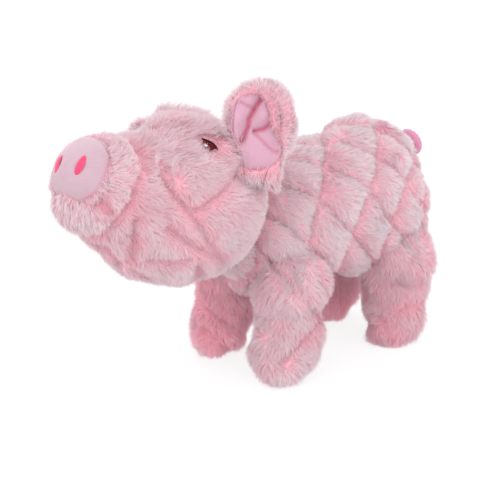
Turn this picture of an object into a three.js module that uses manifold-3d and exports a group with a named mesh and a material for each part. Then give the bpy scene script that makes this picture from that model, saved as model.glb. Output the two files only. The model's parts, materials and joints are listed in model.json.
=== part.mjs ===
// A quilted plush pig that stands on four legs: sewn covers over stuffing, with a squeaker in its belly.
// Millimetres, +Z up. The body faces -X, the pig's left side is -Y and its soles stand on Z = 0.
import * as THREE from 'three';
import { mergeVertices } from 'three/addons/utils/BufferGeometryUtils.js';
import Module from 'manifold-3d';

const wasm = await Module();
wasm.setup();

const degrees = THREE.MathUtils.degToRad;
const { lerp, smoothstep } = THREE.MathUtils;

// Fabrics and fits
const gap = 0.3;
const overrun = 6;
const plush = 6;
const velboa = 2.4;

// Body, measured to the tips of its pile
const bodyLength = 178;
const bodyHalfWidth = 50;
const bodyRise = 54;
const bodyDrop = 55;
const bodyMiddleX = 8;
const bodyMiddleZ = 100;
// From the chest to the rump in equal steps: how full the sides, the back and the belly are.
const bodySideShares = [0.75, 0.8, 0.86, 0.98, 1.0, 0.98, 0.95];
const bodyBackShares = [0.68, 0.75, 0.79, 0.87, 1.0, 1.02, 0.95];
const bodyBellyShares = [0.9, 0.95, 0.98, 0.98, 0.98, 1.0, 1.0];
const bodyEndRoundShare = 0.65;

// Quilting of the body
const quiltLength = 42;
const quiltsAround = 8;
const quiltDepth = 3;

// Head, whose back half is a ball that sits in the neck
const headRadius = 52.5;
const headReach = 110;
const headMiddleX = -103;
const headMiddleZ = 125;
const headPitch = degrees(23.5);
const headTurn = degrees(15);
const neckOpening = 28;
// From the middle of the head to the muzzle: share of the reach, then shares of the radius to the sides,
// over and under the axis.
const headShares = [
  [0.16, 0.99, 0.92, 1.04],
  [0.34, 0.89, 0.72, 0.98],
  [0.52, 0.73, 0.52, 0.86],
  [0.67, 0.6, 0.44, 0.74],
  [0.8, 0.52, 0.41, 0.65],
  [0.88, 0.41, 0.28, 0.58],
  [0.95, 0.25, 0.14, 0.48],
];
const chinDropShare = 0.36;
const muzzleSeam = 66;
const headFrontRings = 9;
const headBackRings = 6;

// Snout
const snoutRadius = 20;
const snoutInset = 16;
const snoutSkirt = 6;
const nostrilHeight = 12;
const nostrilWidth = 5.5;
const nostrilThickness = 2;
const nostrilTurn = degrees(27);
const nostrilRise = degrees(6);

// Eyes
const eyeLength = 12;
const eyeHeight = 6;
const eyeThickness = 3;
// From the middle of the head, as shares of its radius: forward, to the side and up.
const eyePlaceShares = [0.552, 0.632, 0.594];
const eyeTilt = degrees(20);

// Legs
const hipRadius = 27;
const hipHeight = 63;
const hipSpread = 29;
const frontHipX = -39;
const rearHipX = 53;
const footRadius = 22;
const footRound = 15;
const footFullShare = 0.6;
const footRingShares = [0.04, 0.25, 0.6, 1];
const thighRings = 5;
const footSpread = 30;
const frontStep = -8;
const rearStep = 0;
const soleCut = 0.5;
const legSwing = degrees(15);
const hipOpening = 13;

// Ears
const earHeight = 62;
const earWidth = 56;
const earThickness = 7;
const earRim = 3;
const earMargin = 9;
const earTopPower = 5;
const liningThickness = 2.5;
const earBendAtBase = 12;
const earBendAtTip = 27;
const earSink = 8;
const earRowShares = [0.02, 0.13, 0.28, 0.44, 0.6, 0.7, 0.76, 0.78, 0.82, 0.9, 0.97];
const earRecessShare = 0.78;
const earBackSteps = 8;
const earFlopBack = degrees(15);
const earFlopForward = degrees(15);
// From the base to the tip in equal steps: how wide the ear is.
const earWidthShares = [0.62, 0.76, 0.9, 0.98, 1.0, 0.96, 0.9];
// The left ear stands up and faces forward, the right one lies back along the head. placeShares runs from the
// middle of the head to the ear's root, as shares of the head's radius. riseShares points to the tip, and
// facingShares out of the lining.
const earPlaces = {
  left: {
    placeShares: [0.476, -0.762, 0.419],
    riseShares: [0.08, -0.05, 1],
    facingShares: [-0.66, -0.75, 0],
  },
  right: {
    placeShares: [0.229, 0.819, 0.362],
    riseShares: [0.97, 0.02, 0.17],
    facingShares: [-0.03, 0.9, 0.4],
  },
};

// Tail
const tailThickness = 7.5;
const tailTipThickness = 6;
const tailLoop = 8;
const tailReach = 15.5;
const tailTurns = degrees(450);
const tailGrowShare = 0.3;
const tailRootReachShare = 0.75;
const tailTipShare = 0.25;
const tailRings = 18;
const tailSides = 8;
const tailSeatRadius = 6.5;
const tailTurn = degrees(160);
const tailPitch = degrees(40);
const tailSwing = degrees(15);

// Squeaker
const squeakerRadius = 21;
const squeakerHeight = 22;
const squeakerLift = 9;
const bladderRound = 4;
const bladderWall = 1.2;
const reedRadius = 5;
const reedBore = 2;
const reedFlange = 7;
const reedHeight = 9;
const reedProud = 1.5;

// Colours
const paleRose = 0xd9b3bd;
const lilacPink = 0xdcbccb;
const brightPink = 0xe8aec6;
const hotPink = 0xf0517f;
const maroon = 0x5e0a12;
const whiteFill = 0xf4f2ee;
const creamVinyl = 0xe9e6dc;

// Facets
const headSteps = 22;
const formSteps = 14;
const coarseSteps = 10;
const quiltSteps = 4;
const trimSteps = 10;
const outlineSteps = 1000;

const range = (count) => Array.from({ length: count }, (_, index) => index);
const at = (x, y, z) => new THREE.Vector3(x, y, z);

// Solids from meshes, and back
function solidOf(geometry) {
  const bare = geometry.clone();
  bare.deleteAttribute('normal');
  bare.deleteAttribute('uv');
  const merged = mergeVertices(bare);
  return new wasm.Manifold(new wasm.Mesh({
    numProp: 3,
    vertProperties: new Float32Array(merged.attributes.position.array),
    triVerts: new Uint32Array(merged.index.array),
  }));
}

function geometryOf(solid) {
  const { vertProperties, triVerts } = solid.getMesh();
  const geometry = new THREE.BufferGeometry();
  geometry.setAttribute('position', new THREE.BufferAttribute(new Float32Array(vertProperties), 3));
  geometry.setIndex(new THREE.BufferAttribute(new Uint32Array(triVerts), 1));
  geometry.computeVertexNormals();
  return geometry;
}

function cutAll(solid, tools) {
  return tools.reduce((rest, tool) => rest.subtract(tool), solid);
}

// A closed skin over rings of points that follow one another along an axis, drawn to a point at each end.
// Each ring runs right-handed about the axis. turned says which cells are split along the other diagonal.
function skinOver(rings, firstPole, lastPole, turned = () => false) {
  const count = rings[0].length;
  const points = [firstPole, ...rings.flat(), lastPole];
  const corner = (ring, step) => 1 + ring * count + (step % count);
  const faces = [];
  for (const step of range(count)) {
    faces.push(0, corner(0, step + 1), corner(0, step));
    faces.push(points.length - 1, corner(rings.length - 1, step), corner(rings.length - 1, step + 1));
  }
  for (const ring of range(rings.length - 1)) {
    for (const step of range(count)) {
      const [a, b] = [corner(ring, step), corner(ring, step + 1)];
      const [c, d] = [corner(ring + 1, step), corner(ring + 1, step + 1)];
      if (turned(ring, step)) faces.push(a, b, c, b, d, c);
      else faces.push(a, b, d, a, d, c);
    }
  }
  const geometry = new THREE.BufferGeometry().setFromPoints(points);
  geometry.setIndex(faces);
  return geometry;
}

function ballAt(centre, radius, steps) {
  return solidOf(new THREE.SphereGeometry(radius, steps, steps / 2).translate(centre.x, centre.y, centre.z));
}

// A faceted ball whose facets all keep clear of the round ball within.
function roomFor(centre, radius, steps) {
  return ballAt(centre, (radius + gap) / Math.cos(Math.PI / steps) ** 2, steps);
}

// A round rod from a start along a direction.
function rodFrom(start, direction, length, radius) {
  const rod = new THREE.CylinderGeometry(radius, radius, length, formSteps).translate(0, length / 2, 0);
  rod.applyQuaternion(new THREE.Quaternion().setFromUnitVectors(at(0, 1, 0), direction.clone().normalize()));
  return solidOf(rod.translate(start.x, start.y, start.z));
}

// A turned shape about a vertical axis. The profile's radii and heights run round its section.
function turned(profile) {
  const closed = [...profile, profile[0]].map(([radius, height]) => new THREE.Vector2(radius, height));
  const geometry = new THREE.LatheGeometry(closed, formSteps).rotateX(Math.PI / 2);
  return geometry;
}

// A smooth value between shares that lie at equal steps from 0 to 1.
function smoothShare(shares, position) {
  const curve = new THREE.CatmullRomCurve3(shares.map((share, index) => at(index, share, 0)));
  return curve.getPoint(position).y;
}

// Body: turn runs from 0 at the chest's tip to half a turn at the rump's. inset shrinks it inside its fabric.
function bodySection(turn, inset = 0) {
  const position = turn / Math.PI;
  const swell = Math.sin(turn) ** bodyEndRoundShare;
  return {
    x: bodyMiddleX - (bodyLength / 2 - inset) * Math.cos(turn),
    side: (bodyHalfWidth - inset) * swell * smoothShare(bodySideShares, position),
    back: (bodyRise - inset) * swell * smoothShare(bodyBackShares, position),
    belly: (bodyDrop - inset) * swell * smoothShare(bodyBellyShares, position),
  };
}

function bodyPoint(section, angle, sink = 0) {
  const height = Math.sin(angle) > 0 ? section.back : section.belly;
  return at(
    section.x,
    (section.side - sink) * Math.cos(angle),
    bodyMiddleZ + (height - sink) * Math.sin(angle),
  );
}

function bodySkin(turns, inset, steps, sinkAt, isTurned) {
  const rings = turns.map((turn, ring) => {
    const section = bodySection(turn, inset);
    const angleOf = (step) => (2 * Math.PI * step) / steps;
    return range(steps).map((step) => bodyPoint(section, angleOf(step), sinkAt(turn, ring, step)));
  });
  const halfLength = bodyLength / 2 - inset;
  const chest = at(bodyMiddleX - halfLength, 0, bodyMiddleZ);
  const rump = at(bodyMiddleX + halfLength, 0, bodyMiddleZ);
  return solidOf(skinOver(rings, chest, rump, isTurned));
}

// The turns at which the body's outline, seen from above, has gone equal lengths.
function evenTurns(stepLength) {
  const fine = range(outlineSteps + 1).map((index) => (Math.PI * index) / outlineSteps);
  const lengths = [0];
  for (const index of range(fine.length - 1)) {
    const [one, two] = [bodySection(fine[index]), bodySection(fine[index + 1])];
    lengths.push(lengths[index] + Math.hypot(two.x - one.x, two.side - one.side));
  }
  const count = Math.round(lengths.at(-1) / stepLength);
  return range(count - 1).map((index) => {
    const goal = (lengths.at(-1) * (index + 1)) / count;
    return fine[lengths.findIndex((length) => length >= goal)];
  });
}

// Diamond quilting: two families of stitched grooves wind round the body, one each way.
function quiltedBody() {
  const sinkAt = (turn, ring, step) => {
    const along = Math.sin((Math.PI * (ring + step)) / quiltSteps);
    const across = Math.sin((Math.PI * (ring - step)) / quiltSteps);
    return quiltDepth * Math.sin(turn) * (1 - Math.sqrt(Math.abs(along * across)));
  };
  const onGroove = (ring, step) => (ring + step + 1) % quiltSteps === 0;
  return bodySkin(evenTurns(quiltLength / quiltSteps), 0, quiltSteps * quiltsAround, sinkAt, onGroove);
}

function plainBody(inset) {
  const turns = range(coarseSteps - 1).map((index) => (Math.PI * (index + 1)) / coarseSteps);
  return bodySkin(turns, inset, coarseSteps, () => 0);
}

// Head, in its own frame: the middle at the origin and the muzzle along -X.
function headForm(inset, steps) {
  const shares = [[0, 1, 1, 1], ...headShares];
  const ring = (x, side, over, under) => range(steps).map((step) => {
    const angle = (2 * Math.PI * step) / steps;
    return at(x, side * Math.cos(angle), (Math.sin(angle) > 0 ? over : under) * Math.sin(angle));
  });
  const widths = new THREE.CatmullRomCurve3(shares.map(([, side, over, under]) => at(side, over, under)));
  const reaches = new THREE.CatmullRomCurve3(shares.map(([forward]) => at(forward, 0, 0)));
  const front = range(headFrontRings).map((index) => {
    const position = 1 - index / headFrontRings;
    const { x: side, y: over, z: under } = widths.getPoint(position).multiplyScalar(headRadius);
    const forward = reaches.getPoint(position).x * (headReach - inset);
    return ring(-forward, side - inset, over - inset, under - inset);
  });
  const radius = headRadius - inset;
  const back = range(headBackRings).map((index) => {
    const turn = ((Math.PI / 2) * index) / headBackRings;
    const width = radius * Math.cos(turn);
    return ring(radius * Math.sin(turn), width, width, width);
  });
  const chin = at(inset - headReach, 0, -chinDropShare * headRadius);
  return solidOf(skinOver([...front, ...back], chin, at(radius, 0, 0)));
}

// Legs: a round thigh about the hip that narrows into a column with a rounded foot.
function legForm({ middle, foot }, inset, steps) {
  const thigh = hipRadius - inset;
  const column = footRadius - inset;
  const waist = Math.acos(column / thigh);
  const bottom = inset - soleCut;
  const ringAt = (z, width) => {
    const lean = smoothstep(middle.z - z, 0, middle.z);
    const [x, y] = [lerp(middle.x, foot.x, lean), lerp(middle.y, foot.y, lean)];
    return range(steps).map((step) => {
      const angle = (2 * Math.PI * step) / steps;
      return at(x + width * Math.cos(angle), y + width * Math.sin(angle), z);
    });
  };
  const rings = footRingShares.map((share) => (
    ringAt(bottom + footRound * share, column * Math.sin(Math.acos(1 - share)) ** footFullShare)
  ));
  for (const index of range(thighRings)) {
    const turn = lerp(-waist, Math.PI / 2, index / thighRings);
    rings.push(ringAt(middle.z + thigh * Math.sin(turn), thigh * Math.cos(turn)));
  }
  return solidOf(skinOver(rings, at(foot.x, foot.y, bottom), at(middle.x, middle.y, middle.z + thigh)));
}

// The room that a leg swings in: its thigh's ball and, below the hip, a skirt round its column.
function legRoom({ middle }, steps) {
  const top = (footRadius + gap) / Math.cos(legSwing) / Math.cos(Math.PI / steps);
  const skirt = new THREE.CylinderGeometry(top + hipRadius * Math.tan(legSwing), top, hipRadius, steps);
  skirt.rotateX(-Math.PI / 2).translate(middle.x, middle.y, middle.z - hipRadius / 2);
  return roomFor(middle, hipRadius, steps).add(solidOf(skirt));
}

// Ears: worked out flat, +Z to the tip and +Y on the lining's side, then bent round so that both edges curl
// towards +Y, tighter at the base than at the tip.
function bent({ x, y, z }) {
  const radius = lerp(earBendAtBase, earBendAtTip, smoothstep(z, 0, earHeight));
  return at((radius - y) * Math.sin(x / radius), radius - (radius - y) * Math.cos(x / radius), z);
}

function earHalfWidth(z) {
  const tipRound = Math.sqrt(1 - (z / earHeight) ** earTopPower);
  return (earWidth / 2) * smoothShare(earWidthShares, z / earHeight) * tipRound;
}

// The back of an ear: thick plush whose rim wraps round the edges of the lining.
function earBack() {
  const rings = earRowShares.map((share) => {
    const z = share * earHeight;
    const half = earHalfWidth(z);
    const margin = Math.min(earMargin, half / 2);
    const floor = share > earRecessShare ? earRim : 0;
    const front = [
      [half, 0],
      [half - margin / 3, earRim],
      [half - margin, earRim],
      [half - margin - gap, floor],
      [(half - margin) / 2, floor],
      [0, floor],
      [-(half - margin) / 2, floor],
      [margin + gap - half, floor],
      [margin - half, earRim],
      [margin / 3 - half, earRim],
      [-half, 0],
    ];
    const rear = range(earBackSteps - 1).map((index) => {
      const angle = (Math.PI * (index + 1)) / earBackSteps;
      return [-half * Math.cos(angle), -earThickness * Math.sin(angle)];
    });
    return [...front, ...rear].map(([x, y]) => bent(at(x, y, z)));
  });
  return solidOf(skinOver(rings, bent(at(0, 0, 0)), bent(at(0, 0, earHeight))));
}

// The lining: a thin smooth panel that lies in the back's hollow, with a round top.
function earLiningPanel() {
  const top = earRecessShare * earHeight - gap;
  const widthAt = (z) => earHalfWidth(z) - Math.min(earMargin, earHalfWidth(z) / 2) - 2 * gap;
  const rings = earRowShares.filter((share) => share < earRecessShare).map((share) => {
    const z = share * earHeight;
    const width = widthAt(z) * Math.sqrt(1 - (z / top) ** (2 * earTopPower));
    const acrossShares = [1, 0.5, 0, -0.5, -1];
    const front = acrossShares.map((across) => [width * across, gap + liningThickness]);
    const rear = acrossShares.map((across) => [-width * across, 2 * gap]);
    return [...front, ...rear].map(([x, y]) => bent(at(x, y, z)));
  });
  const middle = gap + liningThickness / 2;
  return solidOf(skinOver(rings, bent(at(0, middle, gap)), bent(at(0, middle, top - gap))));
}

// Places that the pieces share
const headMiddle = at(headMiddleX, 0, headMiddleZ);
const bodyMiddle = at(bodyMiddleX, 0, bodyMiddleZ);
const hips = [
  ['front_left', frontHipX, -1, frontStep],
  ['front_right', frontHipX, 1, frontStep],
  ['rear_left', rearHipX, -1, rearStep],
  ['rear_right', rearHipX, 1, rearStep],
].map(([name, x, side, step]) => ({
  name,
  middle: at(x, side * hipSpread, hipHeight),
  foot: at(x + step, side * footSpread, 0),
}));

const pig = new THREE.Group();
const head = new THREE.Group();
head.position.copy(headMiddle);
head.rotation.set(0, headPitch, headTurn, 'ZYX');
pig.add(head);

function addPiece(group, name, shape, color, roughness = 0.95) {
  const geometry = shape.isBufferGeometry ? shape : geometryOf(shape);
  const mesh = new THREE.Mesh(geometry, new THREE.MeshStandardMaterial({ color, roughness, metalness: 0 }));
  mesh.name = name;
  group.add(mesh);
}

// Body, with room for the head, the thighs and the tail's root
const tailSection = bodySection(tailTurn, tailSeatRadius);
const tailSeat = at(tailSection.x, 0, bodyMiddleZ + tailSection.back);
const tailWay = at(Math.cos(tailPitch), 0, Math.sin(tailPitch));
const tailMouth = tailThickness / 2 + tailSeatRadius * Math.tan(tailSwing) + 2 * gap;
const tailRoom = roomFor(tailSeat, tailSeatRadius, formSteps)
  .add(rodFrom(tailSeat, tailWay, tailSeatRadius + overrun, tailMouth));
const roomsWith = (steps) => [
  roomFor(headMiddle, headRadius, headSteps),
  tailRoom,
  ...hips.map((hip) => legRoom(hip, steps)),
];
addPiece(pig, 'body_cover', cutAll(quiltedBody(), [plainBody(plush), ...roomsWith(formSteps)]), paleRose);

// Squeaker: a bladder with a reed in its top, in a pocket of the stuffing that opens to the belly
const bellyInside = bodyMiddleZ - bodyDrop + plush;
const squeakerBottom = bellyInside + squeakerLift;
const pocketHeight = overrun + squeakerLift + squeakerHeight + reedProud + gap;
const pocketRadius = (squeakerRadius + gap) / Math.cos(Math.PI / formSteps);
const pocket = rodFrom(at(bodyMiddleX, 0, bellyInside - overrun), at(0, 0, 1), pocketHeight, pocketRadius);
addPiece(pig, 'body_filling', cutAll(plainBody(plush + gap), [...roomsWith(coarseSteps), pocket]), whiteFill);
addPiece(pig, 'squeaker_bladder', turned([
  [0, 0],
  [squeakerRadius - bladderRound, 0],
  [squeakerRadius, bladderRound],
  [squeakerRadius - bladderRound, squeakerHeight / 2],
  [squeakerRadius, squeakerHeight - bladderRound],
  [squeakerRadius - bladderRound, squeakerHeight],
  [reedRadius + gap, squeakerHeight],
  [reedRadius + gap, squeakerHeight - bladderWall],
  [squeakerRadius - bladderRound - bladderWall, squeakerHeight - bladderWall],
  [squeakerRadius - 2 * bladderWall, squeakerHeight - bladderRound],
  [squeakerRadius - bladderRound - 2 * bladderWall, squeakerHeight / 2],
  [squeakerRadius - 2 * bladderWall, bladderRound],
  [squeakerRadius - bladderRound - bladderWall, bladderWall],
  [0, bladderWall],
]).translate(bodyMiddleX, 0, squeakerBottom), creamVinyl, 0.5);
addPiece(pig, 'squeaker_reed', turned([
  [reedRadius, -reedHeight],
  [reedRadius, 0],
  [reedFlange, 0],
  [reedFlange, reedProud - gap],
  [reedBore, reedProud - gap],
  [reedBore, -reedHeight],
]).translate(bodyMiddleX, 0, squeakerBottom + squeakerHeight + gap), creamVinyl, 0.4);

// Legs
const slab = new THREE.BoxGeometry(2 * bodyLength, 2 * bodyLength, overrun);
const floor = solidOf(slab.translate(0, 0, -overrun / 2));
for (const hip of hips) {
  const inward = bodyMiddle.clone().sub(hip.middle);
  const opening = rodFrom(hip.middle, inward, hipRadius + overrun, hipOpening);
  const plug = rodFrom(hip.middle, inward, hipRadius + overrun, hipOpening - gap)
    .intersect(ballAt(hip.middle, hipRadius, coarseSteps));
  const cover = cutAll(legForm(hip, 0, formSteps), [legForm(hip, plush, coarseSteps), opening, floor]);
  addPiece(pig, `leg_cover_${hip.name}`, cover, paleRose);
  addPiece(pig, `leg_filling_${hip.name}`, legForm(hip, plush + gap, coarseSteps).add(plug), whiteFill);
}

// Head: a cover whose front is sewn to the muzzle, the muzzle to the snout's dome
const headCentre = at(0, 0, 0);
const toNeck = bodyMiddle.clone().sub(headMiddle).applyQuaternion(head.quaternion.clone().invert());
const neckHole = rodFrom(headCentre, toNeck, headRadius + overrun, neckOpening);
const neckPlug = rodFrom(headCentre, toNeck, headRadius + overrun, neckOpening - gap)
  .intersect(ballAt(headCentre, headRadius, formSteps));
const snoutForward = headReach - snoutInset;
const snoutMiddle = at(-snoutForward, 0, 0);
const headOuter = headForm(0, headSteps);
const headHollow = headForm(plush, coarseSteps);
const beforePlane = (place) => solidOf(new THREE.BoxGeometry(2 * headReach, 2 * headReach, 2 * headReach)
  .translate(-place - headReach, 0, 0));
const snoutRoom = roomFor(snoutMiddle, snoutRadius, formSteps);
const snoutInside = snoutRadius - velboa - gap;

function nostrilForm(side, grow) {
  const form = new THREE.SphereGeometry(1, trimSteps, trimSteps / 2)
    .scale(nostrilThickness / 2 + grow, nostrilWidth / 2 + grow, nostrilHeight / 2 + grow)
    .translate(-snoutRadius, 0, 0)
    .rotateY(nostrilRise)
    .rotateZ(-side * nostrilTurn)
    .translate(snoutMiddle.x, 0, 0);
  return solidOf(form);
}

function eyeForm(side, grow) {
  const form = new THREE.SphereGeometry(1, trimSteps, trimSteps / 2)
    .scale(eyeLength / 2 + grow, eyeHeight / 2 + grow, eyeThickness / 2 + grow)
    .rotateZ(-side * eyeTilt);
  const [forward, aside, up] = eyePlaceShares;
  const outward = at(-forward, side * aside, up).multiplyScalar(headRadius);
  form.applyQuaternion(new THREE.Quaternion().setFromUnitVectors(at(0, 0, 1), outward.clone().normalize()));
  return solidOf(form.translate(outward.x, outward.y, outward.z));
}

const sides = { left: -1, right: 1 };
const eyeRooms = Object.values(sides).map((side) => eyeForm(side, gap));
const nostrilRooms = Object.values(sides).map((side) => nostrilForm(side, gap));
const headRooms = [headHollow, beforePlane(muzzleSeam), neckHole, ...eyeRooms];
addPiece(head, 'head_cover', cutAll(headOuter, headRooms), paleRose);
const muzzle = headOuter.intersect(beforePlane(muzzleSeam + gap));
addPiece(head, 'muzzle_panel', cutAll(muzzle, [headHollow, snoutRoom]), paleRose);
addPiece(head, 'snout_disc', cutAll(ballAt(snoutMiddle, snoutRadius, formSteps), [
  roomFor(snoutMiddle, snoutInside, formSteps),
  beforePlane(-headReach).subtract(beforePlane(snoutForward - snoutSkirt)),
  ...nostrilRooms,
]), lilacPink);
const headStuffing = headForm(plush + gap, coarseSteps)
  .subtract(beforePlane(snoutForward - snoutSkirt - gap))
  .add(ballAt(snoutMiddle, snoutInside, coarseSteps));
addPiece(head, 'head_filling', headStuffing.add(neckPlug), whiteFill);
for (const [name, side] of Object.entries(sides)) {
  addPiece(head, `nostril_${name}`, nostrilForm(side, 0), hotPink, 0.6);
  addPiece(head, `eye_${name}`, eyeForm(side, 0), maroon, 0.5);
}

// Ears, cut where the head would stand in their way at both ends of their flop
const headRoom = headForm(-2 * gap, headSteps);
for (const [name, place] of Object.entries(earPlaces)) {
  const ear = new THREE.Group();
  const rise = at(...place.riseShares).normalize();
  const width = at(...place.facingShares).cross(rise).normalize();
  ear.position.copy(headMiddle).addScaledVector(at(...place.placeShares), headRadius);
  ear.quaternion.setFromRotationMatrix(new THREE.Matrix4().makeBasis(width, rise.clone().cross(width), rise));
  pig.add(ear);
  pig.updateMatrixWorld(true);
  const headSeen = ear.matrixWorld.clone().invert().multiply(head.matrixWorld);
  const headRoomsSeen = [-earFlopBack, 0, earFlopForward].map((flop) => (
    headRoom.transform(new THREE.Matrix4().makeRotationX(flop).multiply(headSeen).elements)
  ));
  const seated = (solid) => cutAll(solid.translate([0, 0, -earSink]), headRoomsSeen);
  addPiece(ear, `ear_back_${name}`, seated(earBack()), paleRose);
  addPiece(ear, `ear_lining_${name}`, seated(earLiningPanel()), brightPink);
}

// Tail: a smooth stuffed curl that grows out of a ball held in the rump
class TailCurve extends THREE.Curve {
  getPoint(position, target = at(0, 0, 0)) {
    const out = smoothstep(position, 0, tailGrowShare);
    const loop = tailLoop * smoothstep(position, tailGrowShare / 2, 2 * tailGrowShare);
    const turn = tailTurns * position;
    return target.set(
      tailReach * lerp(position, out, tailRootReachShare),
      loop * Math.cos(turn),
      loop * Math.sin(turn),
    );
  }
}

function tailForm() {
  const curve = new TailCurve();
  const { tangents, normals, binormals } = curve.computeFrenetFrames(tailRings, false);
  const rings = range(tailRings).map((index) => {
    const position = (index + 1) / (tailRings + 1);
    const round = Math.sqrt(Math.min(1, (1 - position) / tailTipShare));
    const radius = (lerp(tailThickness, tailTipThickness, position) / 2) * round;
    const middle = curve.getPointAt(position);
    return range(tailSides).map((step) => {
      const angle = (2 * Math.PI * step) / tailSides;
      return middle.clone()
        .addScaledVector(normals[index], radius * Math.cos(angle))
        .addScaledVector(binormals[index], radius * Math.sin(angle));
    });
  });
  const tip = curve.getPoint(1).addScaledVector(tangents.at(-1), gap);
  return solidOf(skinOver(rings, curve.getPoint(0), tip));
}

const tail = new THREE.Group();
tail.position.copy(tailSeat);
tail.rotation.y = -tailPitch;
pig.add(tail);
addPiece(tail, 'tail', tailForm().add(ballAt(headCentre, tailSeatRadius, coarseSteps)), lilacPink);

// The origin lies on the ground, in the middle of the pig's length and width.
const middle = new THREE.Box3().setFromObject(pig, true).getCenter(at(0, 0, 0));
pig.position.set(-middle.x, -middle.y, 0);

export default pig;
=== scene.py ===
# %% [markdown]
# A plush pig, sewn from long-pile fabric, stuffed and quilted. This lesson dresses the imported model: the solids say
# where each piece is and how it moves, and the cells below build what the eye sees. The first step loads that frame.

# %% Load the frame
import json

import bpy
import numpy as np
from mathutils import Matrix, Vector
from mathutils.bvhtree import BVHTree
from mathutils.kdtree import KDTree


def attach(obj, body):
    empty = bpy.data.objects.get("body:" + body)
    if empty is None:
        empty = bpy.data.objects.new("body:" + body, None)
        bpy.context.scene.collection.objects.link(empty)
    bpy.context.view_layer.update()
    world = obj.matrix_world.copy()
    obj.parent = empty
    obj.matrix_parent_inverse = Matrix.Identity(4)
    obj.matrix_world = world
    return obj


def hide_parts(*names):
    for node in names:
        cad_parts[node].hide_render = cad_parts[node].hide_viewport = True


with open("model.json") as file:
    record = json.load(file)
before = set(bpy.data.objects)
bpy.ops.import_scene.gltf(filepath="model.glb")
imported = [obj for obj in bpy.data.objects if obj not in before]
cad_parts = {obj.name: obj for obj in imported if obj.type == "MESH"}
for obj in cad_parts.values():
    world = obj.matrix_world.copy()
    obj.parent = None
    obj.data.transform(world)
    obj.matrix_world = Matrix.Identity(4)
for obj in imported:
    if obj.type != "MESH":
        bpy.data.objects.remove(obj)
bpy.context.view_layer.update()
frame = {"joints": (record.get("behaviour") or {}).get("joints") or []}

joints = {joint["name"]: joint for joint in frame["joints"]}
print("joints:", sorted(joints))

# %% [markdown]
# Plush is cut and sewn in millimetres, so the places below are in millimetres too, measured from a point on the
# ground under the front of the belly. The neck's joint ties that point to the frame: one shift turns every place
# into metres in the frame.

# %% Units and places
MM = 0.001
HEAD_MIDDLE = np.array([-103.0, 0.0, 125.0])
SHIFT = np.array(joints["neck_nod"]["pos_m"]) / MM - HEAD_MIDDLE


def to_frame(points):
    return (np.asarray(points) + SHIFT) * MM


def unit(vectors):
    vectors = np.asarray(vectors, float)
    return vectors / np.maximum(np.linalg.norm(vectors, axis=-1, keepdims=True), 1e-9)


print("shift to the frame, mm:", SHIFT.round(3))

# %% [markdown]
# The photograph was taken from the pig's front left, a little above it. A long lens a metre away gives the same
# mild perspective. The camera comes first, because the seams that are drawn later are followed from the picture
# through it.

# %% Camera
CAMERA_TARGET = np.array([-47.3, 0.0, 78.8])
CAMERA_AZIMUTH = np.radians(-41.0)
CAMERA_ELEVATION = np.radians(18.96)
CAMERA_DISTANCE = 1000.0
PIXEL_SIZE = 0.628
PICTURE_SIDE = 500
SENSOR = 36.0

camera_back = np.array([
    np.sin(CAMERA_AZIMUTH) * np.cos(CAMERA_ELEVATION),
    -np.cos(CAMERA_AZIMUTH) * np.cos(CAMERA_ELEVATION),
    np.sin(CAMERA_ELEVATION),
])
camera_right = np.array([np.cos(CAMERA_AZIMUTH), np.sin(CAMERA_AZIMUTH), 0.0])
camera_up = np.cross(camera_back, camera_right)
camera_place = CAMERA_TARGET + CAMERA_DISTANCE * camera_back

lens = bpy.data.cameras.new("portrait_lens")
lens.sensor_width = SENSOR
lens.lens = SENSOR * CAMERA_DISTANCE / (PICTURE_SIDE * PIXEL_SIZE)
camera = bpy.data.objects.new("camera", lens)
camera.rotation_mode = "QUATERNION"
camera.location = to_frame(camera_place)
camera.rotation_quaternion = Vector(-camera_back).to_track_quat("-Z", "Y")
bpy.context.scene.collection.objects.link(camera)
bpy.context.scene.camera = camera


def sight(pixel):
    """The direction, in millimetres, in which the camera sees a pixel of the picture, or each of many."""
    across, down = ((np.asarray(pixel)[..., [axis]] - PICTURE_SIDE / 2) * PIXEL_SIZE for axis in (0, 1))
    return unit(across * camera_right - down * camera_up - CAMERA_DISTANCE * camera_back)


def seen_at(points):
    """The pixels at which the camera sees points."""
    off = np.asarray(points) - camera_place
    scale = CAMERA_DISTANCE / -(off @ camera_back) / PIXEL_SIZE
    middle = PICTURE_SIDE / 2
    return np.stack([middle + (off @ camera_right) * scale, middle - (off @ camera_up) * scale], -1)


print("lens, mm:", round(lens.lens, 1))

# %% [markdown]
# Plush looks soft because light reaches it from everywhere. A pale world gives most of the light, as a light tent
# would. A large lamp at the upper left adds a little shape, one stands behind, and three low ones reach the legs and
# the belly. The Standard view transform keeps colours as they are written.

# %% Light
scene = bpy.context.scene
scene.view_settings.view_transform = "Standard"


def lamp(name, place, size, power):
    """A round soft lamp that faces the origin. place and size are in metres, and power is in watts."""
    light = bpy.data.lights.new(name, "AREA")
    light.shape = "DISK"
    light.size, light.energy = size, power
    lamp_object = bpy.data.objects.new(name, light)
    lamp_object.location = place
    lamp_object.rotation_mode = "QUATERNION"
    lamp_object.rotation_quaternion = Vector(place).to_track_quat("Z", "Y")
    scene.collection.objects.link(lamp_object)


lamp("key_softbox", (-0.8, -0.9, 1.7), 1.2, 10.5)
lamp("low_softbox", (-0.6, -1.3, 0.22), 1.3, 3.5)
lamp("low_front_softbox", (-1.4, -0.2, 0.25), 1.1, 6.0)
lamp("low_side_softbox", (0.9, -1.1, 0.25), 1.2, 7.5)
lamp("back_softbox", (0.3, 1.2, 1.6), 1.1, 9.0)
print("lamps:", len(bpy.data.lights))

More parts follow.
